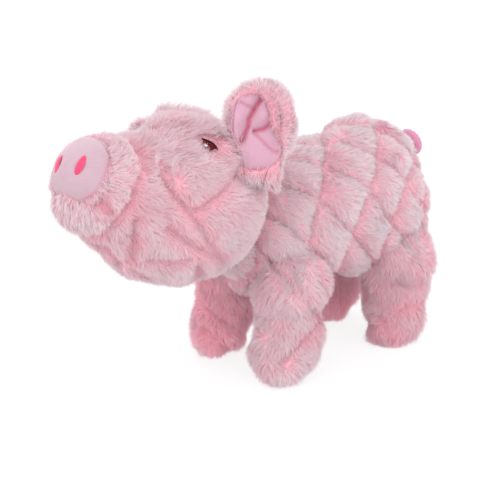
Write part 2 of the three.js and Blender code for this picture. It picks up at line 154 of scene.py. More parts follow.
# %% [markdown]
# Shader maths reads best as sums. A Wire wraps one socket of a material, and its operators add the Math nodes, so
# `1 - mask * 0.4` is three nodes and one line. Every other node comes from Recipe.node, which takes the node's
# type, its settings and what goes into its sockets.


# %% Shader maths
class Wire:
    def __init__(self, recipe, socket):
        self.recipe, self.socket = recipe, socket

    def math(self, operation, first, second):
        node = self.recipe.node("ShaderNodeMath", {"operation": operation}, {0: first, 1: second})
        return Wire(self.recipe, node.outputs[0])

    def __add__(self, other):
        return self.math("ADD", self, other)

    def __mul__(self, other):
        return self.math("MULTIPLY", self, other)

    def __sub__(self, other):
        return self.math("SUBTRACT", self, other)

    def __rsub__(self, other):
        return self.math("SUBTRACT", other, self)

    def __pow__(self, other):
        return self.math("POWER", self, other)

    __radd__ = __add__
    __rmul__ = __mul__


class Recipe:
    """A material's node tree, built from calls."""

    def __init__(self, owner):
        owner.use_nodes = True
        self.owner, self.tree = owner, owner.node_tree
        self.tree.nodes.clear()

    def node(self, kind, settings=None, sockets=None):
        node = self.tree.nodes.new(kind)
        for name, value in (settings or {}).items():
            setattr(node, name, value)
        for name, value in (sockets or {}).items():
            socket = node.inputs[name]
            if isinstance(value, Wire):
                self.tree.links.new(value.socket, socket)
            else:
                socket.default_value = value
        return node

    def wire(self, kind, settings=None, sockets=None, output=0):
        return Wire(self, self.node(kind, settings, sockets).outputs[output])

    def mix(self, factor, first, second):
        return self.wire("ShaderNodeMix", {"data_type": "RGBA"}, {0: factor, 6: first, 7: second}, output=2)

    def noise(self, scale, detail, place):
        return self.wire("ShaderNodeTexNoise", {}, {"Vector": place, "Scale": scale, "Detail": detail})

    def bump(self, height, distance):
        return self.wire("ShaderNodeBump", {}, {"Height": height, "Distance": distance, "Strength": 1.0})

    def surface(self, glow_through=None, **sockets):
        """The finish of the material, which is handed back. glow_through is a share and a colour."""
        names = {name.replace("_", " ").title().replace("Ior", "IOR"): value for name, value in sockets.items()}
        shader = self.wire("ShaderNodeBsdfPrincipled", {}, names)
        if glow_through:
            share, color = glow_through
            through = self.wire("ShaderNodeBsdfTranslucent", {}, {"Color": color})
            shader = self.wire("ShaderNodeMixShader", {}, {0: share, 1: shader, 2: through})
        self.node("ShaderNodeOutputMaterial", {}, {"Surface": shader})
        return self.owner


def paint(red, green, blue):
    """A colour read off the picture, 0 to 255, as the linear colour that a socket takes."""
    share = np.array([red, green, blue]) / 255
    linear = np.where(share <= 0.04045, share / 12.92, ((share + 0.055) / 1.055) ** 2.4)
    return (*linear.tolist(), 1.0)


print("shader maths ready")

# %% [markdown]
# The world lights the pig at a little over white, but the camera sees plain white. The floor could be any paper: it
# glows enough to fade into the background, most of all where the camera looks at it, and takes a faint shadow.

# %% Studio world and floor
WORLD_LEVEL = 1.12
WHITE = (1, 1, 1, 1)
FLOOR_RADIUS = 6.0
FLOOR_GREY = (0.9, 0.9, 0.9, 1)
FLOOR_GLOW, FLOOR_GLOW_SHARE, FLOOR_GLOW_SEEN = 1.02, 0.55, 0.25


def build_world():
    scene.world = bpy.data.worlds.new("studio")
    recipe = Recipe(scene.world)
    seen = recipe.wire("ShaderNodeLightPath", output="Is Camera Ray")
    level = WORLD_LEVEL + seen * (1 - WORLD_LEVEL)
    background = recipe.wire("ShaderNodeBackground", {}, {"Color": WHITE, "Strength": level})
    recipe.node("ShaderNodeOutputWorld", {}, {"Surface": background})


def build_floor():
    bpy.ops.mesh.primitive_circle_add(vertices=64, radius=FLOOR_RADIUS, fill_type="NGON")
    floor = bpy.context.object
    floor.name = "floor"
    recipe = Recipe(bpy.data.materials.new("pale_floor"))
    lit = recipe.wire("ShaderNodeBsdfDiffuse", {}, {"Color": FLOOR_GREY})
    glow = recipe.wire("ShaderNodeEmission", {}, {"Color": WHITE, "Strength": FLOOR_GLOW})
    seen = recipe.wire("ShaderNodeLightPath", output="Is Camera Ray")
    share = seen * FLOOR_GLOW_SEEN + FLOOR_GLOW_SHARE
    both = recipe.wire("ShaderNodeMixShader", {}, {0: share, 1: lit, 2: glow})
    recipe.node("ShaderNodeOutputMaterial", {}, {"Surface": both})
    floor.data.materials.append(recipe.owner)


build_world()
build_floor()
print("studio ready")

# %% [markdown]
# The pile is dyed one pink, yet it never looks one colour: the tips catch the light and look pale, while the depths
# between the locks are a strong pink. Every strand carries that in its UVs. U is the strand's tone, from pink to
# pale, and V runs from its root to its tip. A colour worked out from UVs alone also exports without a flaw.

# %% Materials of the plush
BAKE_MAP = "OFBake"
ROOT_PINK = paint(232, 161, 178)
DEEP_PINK = paint(230, 211, 217)
TIP_PINK = paint(221, 196, 204)
TIP_PALE = paint(221, 231, 232)
# SHADED_ROOT and SHADED_TIP are painted light in shade: a brighter, stronger pink for the strands in shaded places.
SHADED_ROOT = paint(244, 166, 184)
SHADED_TIP = paint(248, 207, 216)
GLOW_THROUGH = (0.45, paint(241, 214, 221))
SHADED_REACH = 5


def plush_material():
    """The strands: tones under a fifth go over to a brighter, stronger pink, painted on places in shade to stand in
    for the light that reaches them through the pile.
    """
    recipe = Recipe(bpy.data.materials.new("long_pile"))
    place = recipe.wire("ShaderNodeUVMap", {"uv_map": BAKE_MAP})
    parts = recipe.node("ShaderNodeSeparateXYZ", {}, {0: place})
    tone, along = (Wire(recipe, parts.outputs[index]) for index in (0, 1))
    shaded = 1 - tone * SHADED_REACH
    root = recipe.mix(shaded, recipe.mix(tone, ROOT_PINK, DEEP_PINK), SHADED_ROOT)
    tip = recipe.mix(shaded, recipe.mix(tone, TIP_PINK, TIP_PALE), SHADED_TIP)
    color = recipe.mix(along**0.9, root, tip)
    return recipe.surface(base_color=color, roughness=0.9, specular_ior_level=0.1, glow_through=GLOW_THROUGH)


def fine_grain(name, scale, detail):
    """A new material's recipe, the places on its object, and fine noise there."""
    recipe = Recipe(bpy.data.materials.new(name))
    place = recipe.wire("ShaderNodeTexCoord", output="Object")
    return recipe, place, recipe.noise(scale, detail, place)


def grained(name, color, other, scale, detail, depth, **finish):
    """Cloth, thread or film in two near colours, mixed by fine noise that is also its relief."""
    recipe, _, grain = fine_grain(name, scale, detail)
    return recipe.surface(base_color=recipe.mix(grain, color, other), normal=recipe.bump(grain, depth), **finish)


long_pile = plush_material()
# The backing's pink is darker than the pile's so that where it shows between strands it reads as shade: its own
# colour, partly painted shade.
backing = grained("plush_backing", paint(214, 141, 158), paint(220, 168, 180), 900.0, 4.0, 0.0004, roughness=0.95)
print("plush materials ready")

# %% [markdown]
# Smooth fabrics have a finish of their own. The snout and the tail are velboa, a pile so short that only a grain
# and faint ribs show. The ear linings are brushed satin, and the eyes and nostrils are satin stitch: thread laid
# side by side, which shows as fine parallel ridges.


# %% Materials of the smooth pieces
def velboa_material(name, pale, pink):
    recipe, place, grain = fine_grain(name, 2200.0, 2.0)
    cloud = recipe.noise(45.0, 2.0, place)
    waviness = {"Vector": place, "Scale": 420.0, "Distortion": 1.2, "Detail": 1.0}
    rib = recipe.wire("ShaderNodeTexWave", {"bands_direction": "Z"}, waviness, output="Fac")
    color = recipe.mix(grain * 0.4, recipe.mix(cloud, pale, pink), pink)
    normal = recipe.bump(grain * 0.6 + rib * 0.4, 0.00025)
    return recipe.surface(base_color=color, roughness=0.8, normal=normal, sheen_weight=0.35, sheen_roughness=0.4)


def lining_material():
    """Satin, painted darker and redder where the attribute says that it lies in a fold or at the edge: painted shade.
    """
    recipe, _, grain = fine_grain("brushed_satin", 1800.0, 2.0)
    fold = recipe.wire("ShaderNodeAttribute", {"attribute_name": "fold"}, output="Fac")
    color = recipe.mix(fold, paint(191, 149, 167), paint(188, 76, 110))
    color = recipe.mix(grain * 0.3, color, paint(186, 131, 153))
    normal = recipe.bump(grain, 0.0002)
    return recipe.surface(base_color=color, roughness=0.7, normal=normal, sheen_weight=0.3, sheen_roughness=0.4)


def thread_material(name, color, dark, sheen, specular):
    finish = {"roughness": 0.5, "sheen_weight": sheen, "specular_ior_level": specular}
    return grained(name, color, dark, 1400.0, 3.0, 0.0002, **finish)


velboa = velboa_material("velboa", paint(185, 171, 176), paint(175, 136, 152))
tail_velboa = velboa_material("tail_velboa", paint(200, 142, 166), paint(190, 108, 144))
satin = lining_material()
nostril_thread = thread_material("nostril_thread", paint(226, 74, 116), paint(204, 46, 92), 0.15, 0.4)
eye_thread = thread_material("eye_thread", paint(104, 8, 16), paint(66, 4, 10), 0.0, 0.12)
lid_thread = thread_material("lid_thread", paint(26, 6, 9), paint(10, 4, 5), 0.0, 0.12)
glint_thread = thread_material("glint_thread", paint(236, 228, 238), paint(206, 196, 214), 0.15, 0.4)
seam_thread = grained("seam_thread", paint(200, 118, 140), paint(222, 158, 176), 1500.0, 2.0, 0.0001, roughness=0.7)
vinyl = grained("vinyl", paint(232, 230, 218), paint(222, 219, 204), 120.0, 4.0, 0.0003, roughness=0.45)
print("smooth materials ready")

# %% [markdown]
# Fur and skins hold hundreds of thousands of points, so meshes are filled from arrays. A grid of points becomes a
# skin, closed round its girth and drawn to a point at each end. Each piece is then put on the body that it rides.


# %% Meshes from arrays
def mesh_object(name, points, polygons, material):
    """points are in millimetres. polygons is a list of arrays, one for each count of corners."""
    mesh = bpy.data.meshes.new(name)
    flat = np.concatenate([block.ravel() for block in polygons]).astype(np.int32)
    counts = np.concatenate([np.full(len(block), block.shape[1]) for block in polygons]).astype(np.int32)
    starts = np.concatenate([[0], np.cumsum(counts)[:-1]]).astype(np.int32)
    mesh.vertices.add(len(points))
    mesh.vertices.foreach_set("co", to_frame(points).astype(np.float32).ravel())
    mesh.loops.add(len(flat))
    mesh.loops.foreach_set("vertex_index", flat)
    mesh.polygons.add(len(counts))
    mesh.polygons.foreach_set("loop_start", starts)
    mesh.polygons.foreach_set("loop_total", counts)
    mesh.polygons.foreach_set("use_smooth", np.full(len(counts), True))
    mesh.update(calc_edges=True)
    mesh.validate()
    mesh.materials.append(material)
    made = bpy.data.objects.new(name, mesh)
    scene.collection.objects.link(made)
    return made


def girth_faces(rows, columns, first_pole, last_pole):
    """Quads of a grid that closes round its columns, and the fans at its ends."""
    row, column = np.meshgrid(np.arange(rows - 1), np.arange(columns), indexing="ij")
    after = (column + 1) % columns
    corner = [row * columns + column, row * columns + after, (row + 1) * columns + after, (row + 1) * columns + column]
    around, base = np.arange(columns), (rows - 1) * columns
    turned = (around + 1) % columns
    return [
        np.stack([part.ravel() for part in corner], 1),
        np.stack([np.full(columns, first_pole), turned, around], 1),
        np.stack([np.full(columns, last_pole), base + around, base + turned], 1),
    ]


def ring_angles(count):
    return np.linspace(0, 2 * np.pi, count + 1)[:-1]


def put(piece, carrier, *nodes, slot_name="plush_fur", fill=None):
    """A piece on its body, in place of nodes. fill is not used."""
    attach(piece, carrier)
    if nodes:
        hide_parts(*nodes)
    return piece


print("mesh helpers ready")

# %% [markdown]
# Stuffed forms swell and taper. Each is described by a few shares along its length, joined by a smooth curve, as
# in the solids. The body runs from chest to rump, and the head from muzzle to nape, in a frame that is pitched
# down and turned towards the camera.

# %% Stuffed forms
BODY_LENGTH, BODY_HALF_WIDTH, BODY_RISE, BODY_DROP = 178.0, 50.0, 54.0, 55.0
BODY_MIDDLE = np.array([8.0, 0.0, 100.0])
BODY_SIDE_SHARES = [0.75, 0.8, 0.86, 0.98, 1.0, 0.98, 0.95]
BODY_BACK_SHARES = [0.68, 0.75, 0.79, 0.87, 1.0, 1.02, 0.95]
BODY_BELLY_SHARES = [0.9, 0.95, 0.98, 0.98, 0.98, 1.0, 1.0]
BODY_END_ROUND_SHARE = 0.65
HEAD_RADIUS, HEAD_REACH = 52.5, 110.0
HEAD_PITCH, HEAD_TURN = np.radians(23.5), np.radians(15.0)
HEAD_SHARES = [
    [0, 1, 1, 1], [0.16, 0.99, 0.92, 1.04], [0.34, 0.89, 0.72, 0.98], [0.52, 0.73, 0.52, 0.86],
    [0.67, 0.6, 0.44, 0.74], [0.8, 0.52, 0.41, 0.65], [0.88, 0.41, 0.28, 0.58], [0.95, 0.25, 0.14, 0.48],
]
CHIN_DROP_SHARE = 0.36
PILE = 4.2


def smooth_share(shares, position):
    """A smooth curve through shares that lie at equal steps from 0 to 1."""
    shares = np.asarray(shares, float)
    step = np.clip(position, 0, 1) * (len(shares) - 1)
    index = np.minimum(step.astype(int), len(shares) - 2)
    rest = (step - index)[..., None] if shares.ndim > 1 else step - index
    padded = np.concatenate([[2 * shares[0] - shares[1]], shares, [2 * shares[-1] - shares[-2]]])
    a, b, c, d = (padded[index + offset] for offset in range(4))
    return b + 0.5 * rest * (c - a + rest * (2 * a - 5 * b + 4 * c - d + rest * (3 * (b - c) + d - a)))


def body_grid(turn, angle):
    """The trunk at turns from 0, the chest's tip, to half a turn, the rump's, and at angles round it."""
    position = turn / np.pi
    swell = np.sin(turn) ** BODY_END_ROUND_SHARE
    side = (BODY_HALF_WIDTH - PILE) * swell * smooth_share(BODY_SIDE_SHARES, position)
    back = (BODY_RISE - PILE) * swell * smooth_share(BODY_BACK_SHARES, position)
    belly = (BODY_DROP - PILE) * swell * smooth_share(BODY_BELLY_SHARES, position)
    height = np.where(np.sin(angle) > 0, back, belly)
    x = -(BODY_LENGTH / 2 - PILE) * np.cos(turn)
    return BODY_MIDDLE + np.stack([x + 0 * angle, side * np.cos(angle), height * np.sin(angle)], -1)


def rotation(axis, angle):
    return np.array(Matrix.Rotation(angle, 3, axis))


HEAD_BASIS = rotation("Z", HEAD_TURN) @ rotation("Y", HEAD_PITCH)


def head_place(points):
    """From the head's own frame, its middle at the origin and the muzzle along -X, to the pig's."""
    return HEAD_MIDDLE + np.asarray(points) @ HEAD_BASIS.T


def head_grid(station, angle):
    """The head from the muzzle's tip, station 0, over its widest ring, station 1, to the nape, station 2."""
    shares = smooth_share(HEAD_SHARES, 1 - np.minimum(station, 1))
    forward = shares[..., 0] * (HEAD_REACH - PILE)
    side, over, under = (HEAD_RADIUS * shares[..., index] - PILE for index in (1, 2, 3))
    turn = (np.maximum(station, 1) - 1) * np.pi / 2
    radius = (HEAD_RADIUS - PILE) * np.cos(turn)
    behind = station > 1
    side, over, under = (np.where(behind, radius, width) for width in (side, over, under))
    x = np.where(behind, (HEAD_RADIUS - PILE) * np.sin(turn), -forward)
    height = np.where(np.sin(angle) > 0, over, under)
    return np.stack([x + 0 * angle, side * np.cos(angle), height * np.sin(angle)], -1)


print("forms ready")

# %% [markdown]
# A skin is the woven backing that the pile grows from. It lies under the tips by the height of the pile, so that
# the furred piece has the size of its solid. Every skin keeps its triangles and normals, from which the pile is
# sown and its seams are found.


# %% Skins
class Skin:
    """A closed surface in millimetres: rings of points between two poles."""

    def __init__(self, rings, first, last):
        rows, columns = rings.shape[:2]
        self.points = np.concatenate([rings.reshape(-1, 3), [first, last]])
        self.faces = girth_faces(rows, columns, rows * columns, rows * columns + 1)
        quads, *fans = self.faces
        self.triangles = np.concatenate([quads[:, [0, 1, 2]], quads[:, [0, 2, 3]], *fans])
        self.settle()
        centre = self.points.mean(0)
        if np.sum((self.points - centre) * self.normals) < 0:
            self.faces = [block[:, ::-1] for block in self.faces]
            self.triangles = self.triangles[:, ::-1]
            self.settle()

    def settle(self):
        """Normals, areas and the search tree, after the points have moved."""
        a, b, c = (self.points[self.triangles[:, corner]] for corner in range(3))
        cross = np.cross(b - a, c - a)
        self.areas = np.linalg.norm(cross, axis=1) / 2
        normals = np.zeros_like(self.points)
        for corner in range(3):
            np.add.at(normals, self.triangles[:, corner], cross)
        self.normals = unit(normals)
        self.tree = BVHTree.FromPolygons(self.points.tolist(), self.triangles.tolist())

    def sink(self, depth):
        self.points = self.points - self.normals * depth[:, None]
        self.settle()

    def place(self, move):
        self.points = move(self.points)
        self.settle()

    def nudge(self, pushes):
        for push in pushes:
            self.points = pushed(self.points, *push)

    def scatter(self, density, rng):
        """Random points on the skin, with their normals."""
        count = int(self.areas.sum() * density)
        chosen = rng.choice(len(self.areas), count, p=self.areas / self.areas.sum())
        one, two = rng.random(count), rng.random(count)
        over = one + two > 1
        one[over], two[over] = 1 - one[over], 1 - two[over]
        weights = np.stack([1 - one - two, one, two], 1)[..., None]
        corners = self.triangles[chosen]
        points = (self.points[corners] * weights).sum(1)
        return points, unit((self.normals[corners] * weights).sum(1))

    def holds(self, points, margin=0.0, deepest=60.0):
        """Whether each point lies inside the skin, deeper than the margin and no deeper than its middle."""
        inside = np.zeros(len(points), bool)
        for index, point in enumerate(points.tolist()):
            near, normal, _, _ = self.tree.find_nearest(point)
            depth = (near - Vector(point)).dot(normal)
            inside[index] = margin < depth and (near - Vector(point)).length < deepest
        return inside


# %% [markdown]
# Small helpers do the rest: fields that fade with distance or wander like noise, lines that are followed from
# the picture onto a skin, and distances to such lines.


# %% Fields and lines
def pushed(points, pixel, reach, across, down):
    """Points with those that the camera sees about a pixel moved, by so many pixels across and down."""
    weight = bell(np.linalg.norm(seen_at(points) - np.array(pixel), axis=1), reach)
    way = across * camera_right - down * camera_up
    return points + weight[:, None] * way * PIXEL_SIZE


def waves(points, size, seed):
    """Smooth noise from about -1 to 1, a sum of plane waves about size long."""
    rng = np.random.default_rng(seed)
    ways = unit(rng.normal(size=(9, 3))) * rng.uniform(0.6, 1.5, (9, 1)) * 2 * np.pi / size
    starts = rng.uniform(0, 2 * np.pi, 9)
    return np.sin(points @ ways.T + starts).sum(1) / 3


def bell(distance, width):
    return np.exp(-((distance / width) ** 2))


def ramp(value, low, high):
    share = np.clip((value - low) / (high - low), 0, 1)
    return share * share * (3 - 2 * share)


def drawn(pixels, steps=None):
    """Dots along a line on the picture, so many on each of its stretches, or else about one a pixel."""
    corners = np.array(pixels, float)
    dots = []
    for start, end in zip(corners, corners[1:]):
        count = steps or max(2, int(np.linalg.norm(end - start)))
        dots.append(start + (end - start) * np.linspace(0, 1, count)[:, None])
    return np.concatenate(dots)


def on_skin(pixels, tree, proud=0.0):
    """Points over a skin at pixels, standing proud of it towards the camera."""
    found = []
    for pixel in pixels:
        point = tree.ray_cast(camera_place.tolist(), sight(pixel).tolist())[0]
        if point is not None:
            found.append(np.array(point) - sight(pixel) * proud)
    return np.array(found)


def onto_skin(points, skin, proud):
    """Points brought to so far over the nearest place of a skin."""
    settled = []
    for point in points.tolist():
        near, normal, _, _ = skin.tree.find_nearest(point)
        settled.append(np.array(near) + np.array(normal) * proud)
    return np.array(settled)


def nearest_index(points, centres):
    tree = KDTree(len(centres))
    for index, centre in enumerate(centres.tolist()):
        tree.insert(centre, index)
    tree.balance()
    return np.array([tree.find(point)[1] for point in points.tolist()])


def distance_to(points, line):
    """Each point's distance to the nearest of a line's points."""
    nearest = np.full(len(points), 1e9)
    for dot in line:
        nearest = np.minimum(nearest, ((points - dot) ** 2).sum(1))
    return np.sqrt(nearest)


def lines_distance(points, lines):
    """Each point's distance to the nearest of many lines, 99 where none is near."""
    return np.minimum.reduce([np.full(len(points), 99.0), *[distance_to(points, line) for line in lines]])


print("skin helpers ready")

# %% [markdown]
# Sewn covers never keep to their pattern, so each skin is pushed here and there until its outline lies on the
# picture's. A push names a pixel, how far about it the cloth moves, and how many pixels across and down. The brow
# under the near ear also swells towards the camera.

# %% Body and head skins
BODY_NUDGES = [
    ((312, 132), 20, 0, 6), ((427, 168), 20, -7, 0), ((432, 218), 18, 5, 0), ((352, 112), 16, 0, -2),
    ((304, 136), 12, 0, 3), ((368, 118), 15, 0, -5),
]
HEAD_NUDGES = [
    ((46, 206), 15, -9, 2), ((68, 234), 15, -4, 3), ((86, 248), 13, -1, 3), ((125, 273), 12, -1, 4),
    ((180, 287), 13, 0, 5), ((205, 100), 24, 0, 4), ((103, 132), 11, 0, -4), ((132, 122), 11, 0, 7),
    ((160, 109), 9, -3, -4), ((138, 118), 14, 0, 11), ((113, 130), 13, 0, 5),
]
HEAD_SWELLS = [((236, 156), 14, 6), ((229, 143), 13, 16)]

angles = ring_angles(240)
turns = np.pi * (np.arange(220) + 0.5) / 220
body_rings = body_grid(turns[:, None], angles[None, :])
body = Skin(body_rings, BODY_MIDDLE - [84, 0, 0], BODY_MIDDLE + [84, 0, 0])
stations = np.concatenate([np.linspace(0.01, 1, 120), 1 + np.linspace(0.01, 0.99, 70)])
head_rings = head_grid(stations[:, None], angles[None, :])
head = Skin(head_rings, [PILE - HEAD_REACH, 0, -CHIN_DROP_SHARE * HEAD_RADIUS], [HEAD_RADIUS - PILE, 0, 0])
head.place(head_place)
body.nudge(BODY_NUDGES)
body.settle()
head.nudge(HEAD_NUDGES)
for pixel, reach, toward in HEAD_SWELLS:
    near = bell(np.linalg.norm(seen_at(head.points) - pixel, axis=1), reach) * ramp(head.normals @ camera_back, 0, 0.5)
    head.points = head.points + (toward * PIXEL_SIZE * near)[:, None] * camera_back
head.settle()
print("body and head skins:", len(body.points), len(head.points), "points")

# %% [markdown]
# The body is quilted: two families of stitched lines wind round it and cross in diamonds. Each family is one line,
# given by its place along the body at turns from the top round to the belly, and repeated along the body. The
# cloth is stretched over a fuller back, so the steep lines lie further apart at the top than below. Before the
# lines are sunk in, the body swells about each hip.

# %% Quilting
STEEP_TURNS = [0, 26, 42, 57, 66, 79, 95, 117, 140, 180]
STEEP_LINE = [13, -2, -11, -18, -22, -28, -32, -34, -34.5, -33.5]
STEEP_PITCHES = [45, 44.5, 44, 42, 40, 36.5, 33.5, 31, 31, 31]
CROSS_TURNS = [0, 20, 41, 54, 65, 76, 89, 101, 115, 138, 180]
CROSS_LINE = [-41, -26, -10, 1, 10, 17, 24, 32, 44, 63, 99]
CROSS_PITCH = 35.0
LINES_APART, GIRTH_DEGREE = 38.0, 0.9
QUILT_SINK, QUILT_LINE_WIDTH, QUILT_PUFF = 2.4, 2.4, 1.8
QUILTED = (-76, 93)
HIP_RADIUS, FOOT_RADIUS, FOOT_ROUND, HIP_HEIGHT = 27.0, 22.0, 15.0, 63.0
HIP_SWELL, HIP_SWELL_REACH = 5.5, 13.0
LEGS = {
    "front_left": ([-39, -29], [-47, -30]), "front_right": ([-39, 29], [-47, 30]),
    "rear_left": ([53, -29], [53, -30]), "rear_right": ([53, 29], [53, 30]),
}


def family_place(turn, x, turns, line, pitches):
    """Which line of a family a place is on: whole numbers lie on lines. The line goes on straight over the top."""
    size = np.abs(turn)
    there = np.interp(size, turns, line)
    there = np.where(turn < 0, 2 * line[0] - there, there)
    return (x - there) / np.interp(size, turns, pitches)


def quilt_places(points):
    """For each family of lines, the distances to the line behind, at the chest's side, and to the one ahead."""
    up = (points[:, 2] - BODY_MIDDLE[2]) / BODY_RISE
    turn = np.degrees(np.arctan2(-points[:, 1] / BODY_HALF_WIDTH, up))
    families = [(STEEP_TURNS, STEEP_LINE, STEEP_PITCHES), (CROSS_TURNS, CROSS_LINE, [CROSS_PITCH] * len(CROSS_TURNS))]
    places = []
    for family in families:
        along = family_place(turn, points[:, 0], *family)
        lean = family_place(turn + 1, points[:, 0], *family) - family_place(turn - 1, points[:, 0], *family)
        slope = np.hypot(1 / LINES_APART, lean / 2 / GIRTH_DEGREE)
        rest = along - np.floor(along)
        places.append((rest / slope, (1 - rest) / slope))
    return places


def groove_distance(points):
    """Distance along the cloth to the nearest quilting line."""
    nearest = np.minimum.reduce([distance for place in quilt_places(points) for distance in place])
    ends = np.minimum(points[:, 0] - QUILTED[0], QUILTED[1] - points[:, 0])
    return nearest + 14 * ramp(-ends, -12, 0)


for middle, _ in LEGS.values():
    apart = np.linalg.norm(body.points - [*middle, HIP_HEIGHT], axis=1) - HIP_RADIUS + PILE
    body.points = body.points + body.normals * (HIP_SWELL * bell(apart, HIP_SWELL_REACH))[:, None]
body.settle()
body_groove = groove_distance(body.points)
body.sink(QUILT_SINK * bell(body_groove, QUILT_LINE_WIDTH) + QUILT_PUFF * (1 - ramp(body_groove, 0, 13)) - 1.0)
print("quilting sunk")

# %% [markdown]
# The head's covers meet in seams, which pull in a crease: behind the muzzle, over the cheek and the jaw to the
# throat, and under the snout. The lines are followed from the picture onto the skin and mirrored to the far
# side, and the cloth swells a little between them and in a collar behind the snout.

# %% Seams of the head
MUZZLE_TOP, MUZZLE_LEAN = 66.0, 14.0
SEAM_SINK, SEAM_DIP, COLLAR = 2.2, 1.5, 2.6
HEAD_LINES = [
    [(160, 177), (173, 195), (190, 213), (203, 233), (215, 255), (222, 263)],
    [(190, 213), (200, 207), (217, 195), (230, 182), (240, 173)],
    [(167, 227), (183, 240), (200, 250), (213, 257)],
    [(135, 220), (133, 240), (132, 260)],
    [(148, 258), (167, 260), (185, 259)],
    [(197, 263), (198, 280)],
    [(90, 190), (100, 201), (110, 212)],
    [(103, 243), (120, 263), (143, 273)],
]


def head_local(points):
    return (points - HEAD_MIDDLE) @ HEAD_BASIS


def mirrored(line):
    return head_place(head_local(line) * [1, -1, 1])


def both_sides(pixels, tree):
    line = on_skin(drawn(pixels), tree)
    return np.concatenate([line, mirrored(line)])


head_lines = [both_sides(line, head.tree) for line in HEAD_LINES]


def head_seam_distance(points):
    local = head_local(points)
    muzzle = np.abs(local[:, 0] + MUZZLE_TOP + MUZZLE_LEAN * (1 - ramp(local[:, 2], -2, 26)))
    return np.minimum(muzzle, lines_distance(points, head_lines))


head_groove = head_seam_distance(head.points)
forward = -head_local(head.points)[:, 0]
collar = COLLAR * ramp(forward, 78, 86) * (1 - ramp(forward, 96, 106))
head.sink(SEAM_SINK * bell(head_groove, 2.6) + SEAM_DIP * bell(head_groove, 10.0) - 1.0 - collar)
print("head seams sunk")

# %% [markdown]
# A leg is a round thigh about the hip that narrows into a column with a rounded foot. The thigh sits in the side of
# the body, so most of its ball is out of sight. The body's quilting runs on over its top, and the stuffing has
# gathered it in a few creases lower down.

# %% Legs
LEG_NUDGES = {
    "front_left": [
        ((325, 336), 17, 10, 0), ((246, 349), 10, -7, 0), ((253, 376), 11, 0, 0), ((312, 378), 12, -7, -4),
    ],
    "front_right": [((232, 355), 14, -3, -6), ((253, 334), 12, -8, -3)],
    "rear_left": [
        ((430, 284), 19, 9, 0), ((372, 342), 12, -4, 4), ((365, 322), 11, 5, 0), ((395, 345), 12, 0, 2),
    ],
    "rear_right": [((356, 311), 13, -7, -3)],
}
LEG_LINES = {
    "front_left": [[(296, 271), (308, 305), (320, 319), (329, 324)], [(281, 364), (300, 343), (317, 324)]],
    "front_right": [[(203, 300), (222, 318), (238, 330)], [(205, 325), (220, 340), (230, 352)]],
    "rear_left": [[(403, 307), (415, 302), (428, 297)], [(379, 314), (386, 326), (393, 338)]],
    "rear_right": [],
}


def leg_skin(middle, foot):
    thigh, column = HIP_RADIUS - PILE, FOOT_RADIUS - PILE
    waist = np.arccos(column / thigh)
    bottom = PILE - 2.5
    shares = np.linspace(0.01, 1, 24)
    heights = list(bottom + FOOT_ROUND * shares)
    widths = list(column * np.sin(np.arccos(1 - shares)) ** 0.6)
    waist_height = HIP_HEIGHT - thigh * np.sin(waist)
    heights += list(np.linspace(heights[-1], waist_height, 26)[1:-1])
    widths += [column] * 24
    for turn in np.linspace(-waist, np.pi / 2 - 0.03, 34):
        heights.append(HIP_HEIGHT + thigh * np.sin(turn))
        widths.append(thigh * np.cos(turn))
    heights, widths = np.array(heights), np.array(widths)
    lean = ramp(HIP_HEIGHT - heights, 0, HIP_HEIGHT)
    middles = np.array(middle) + (np.array(foot) - middle) * lean[:, None]
    around = ring_angles(96)
    ring = np.stack([np.cos(around), np.sin(around)], -1)
    flat = middles[:, None, :] + widths[:, None, None] * ring[None]
    rings = np.concatenate([flat, np.broadcast_to(heights[:, None, None], (len(heights), 96, 1))], -1)
    return Skin(rings, [*foot, bottom], [*middle, HIP_HEIGHT + thigh])


legs = {name: leg_skin(middle, foot) for name, (middle, foot) in LEGS.items()}
for name, leg in legs.items():
    leg.nudge(LEG_NUDGES[name])
    leg.settle()
    lines = [on_skin(drawn(pixels), leg.tree) for pixels in LEG_LINES[name]]
    leg.lines = [line for line in lines if len(line)]
    crease = lines_distance(leg.points, leg.lines)
    high = ramp(leg.points[:, 2], 58, 72)
    quilt = (QUILT_SINK * bell(groove_distance(leg.points), QUILT_LINE_WIDTH) + 0.4) * high
    leg.sink(1.8 * bell(crease, 2.6) + 1.2 * bell(crease, 8.0) - 0.9 * waves(leg.points, 26, 7) - 0.4 + quilt)
print("leg skins:", len(legs))

# %% [markdown]
# An ear is cut flat as two pieces, a plush back and a satin lining, and bends round so that both of its edges curl
# towards the lining. Its own frame has Z to the tip and Y on the lining's side. The near ear is fitted to the
# picture first, and the far one is its mirror image, fitted again by pushes of its own.

# %% Ears
EAR_HEIGHT, EAR_WIDTH, EAR_THICKNESS, EAR_SINK = 62.0, 56.0, 7.0, 8.0
EAR_WIDTH_SHARES = [0.62, 0.76, 0.9, 0.98, 1, 0.96, 0.9]
EAR_BEND_BASE, EAR_BEND_TIP = 12.0, 27.0
EAR_MARGIN, EAR_LINING_TOP, EAR_PILE_DEPTH = 9.0, 0.78, 4.0
EARS = {
    "left": ([0.476, -0.762, 0.419], [0.08, -0.05, 1], [-0.66, -0.75, 0]),
    "right": ([0.229, 0.819, 0.362], [0.97, 0.02, 0.17], [-0.03, 0.9, 0.4]),
}
EAR_NUDGES = [((224, 152), 15, 10, 0), ((222, 140), 8, 4, 0), ((295, 160), 13, -7, 0)]
FAR_EAR_NUDGES = [((195, 98), 24, -10, 7), ((176, 108), 18, -12, 3)]


def ear_bent(flat):
    x, y, z = flat[..., 0], flat[..., 1], flat[..., 2]
    radius = EAR_BEND_BASE + (EAR_BEND_TIP - EAR_BEND_BASE) * ramp(z, 0, EAR_HEIGHT)
    return np.stack([(radius - y) * np.sin(x / radius), radius - (radius - y) * np.cos(x / radius), z - EAR_SINK], -1)


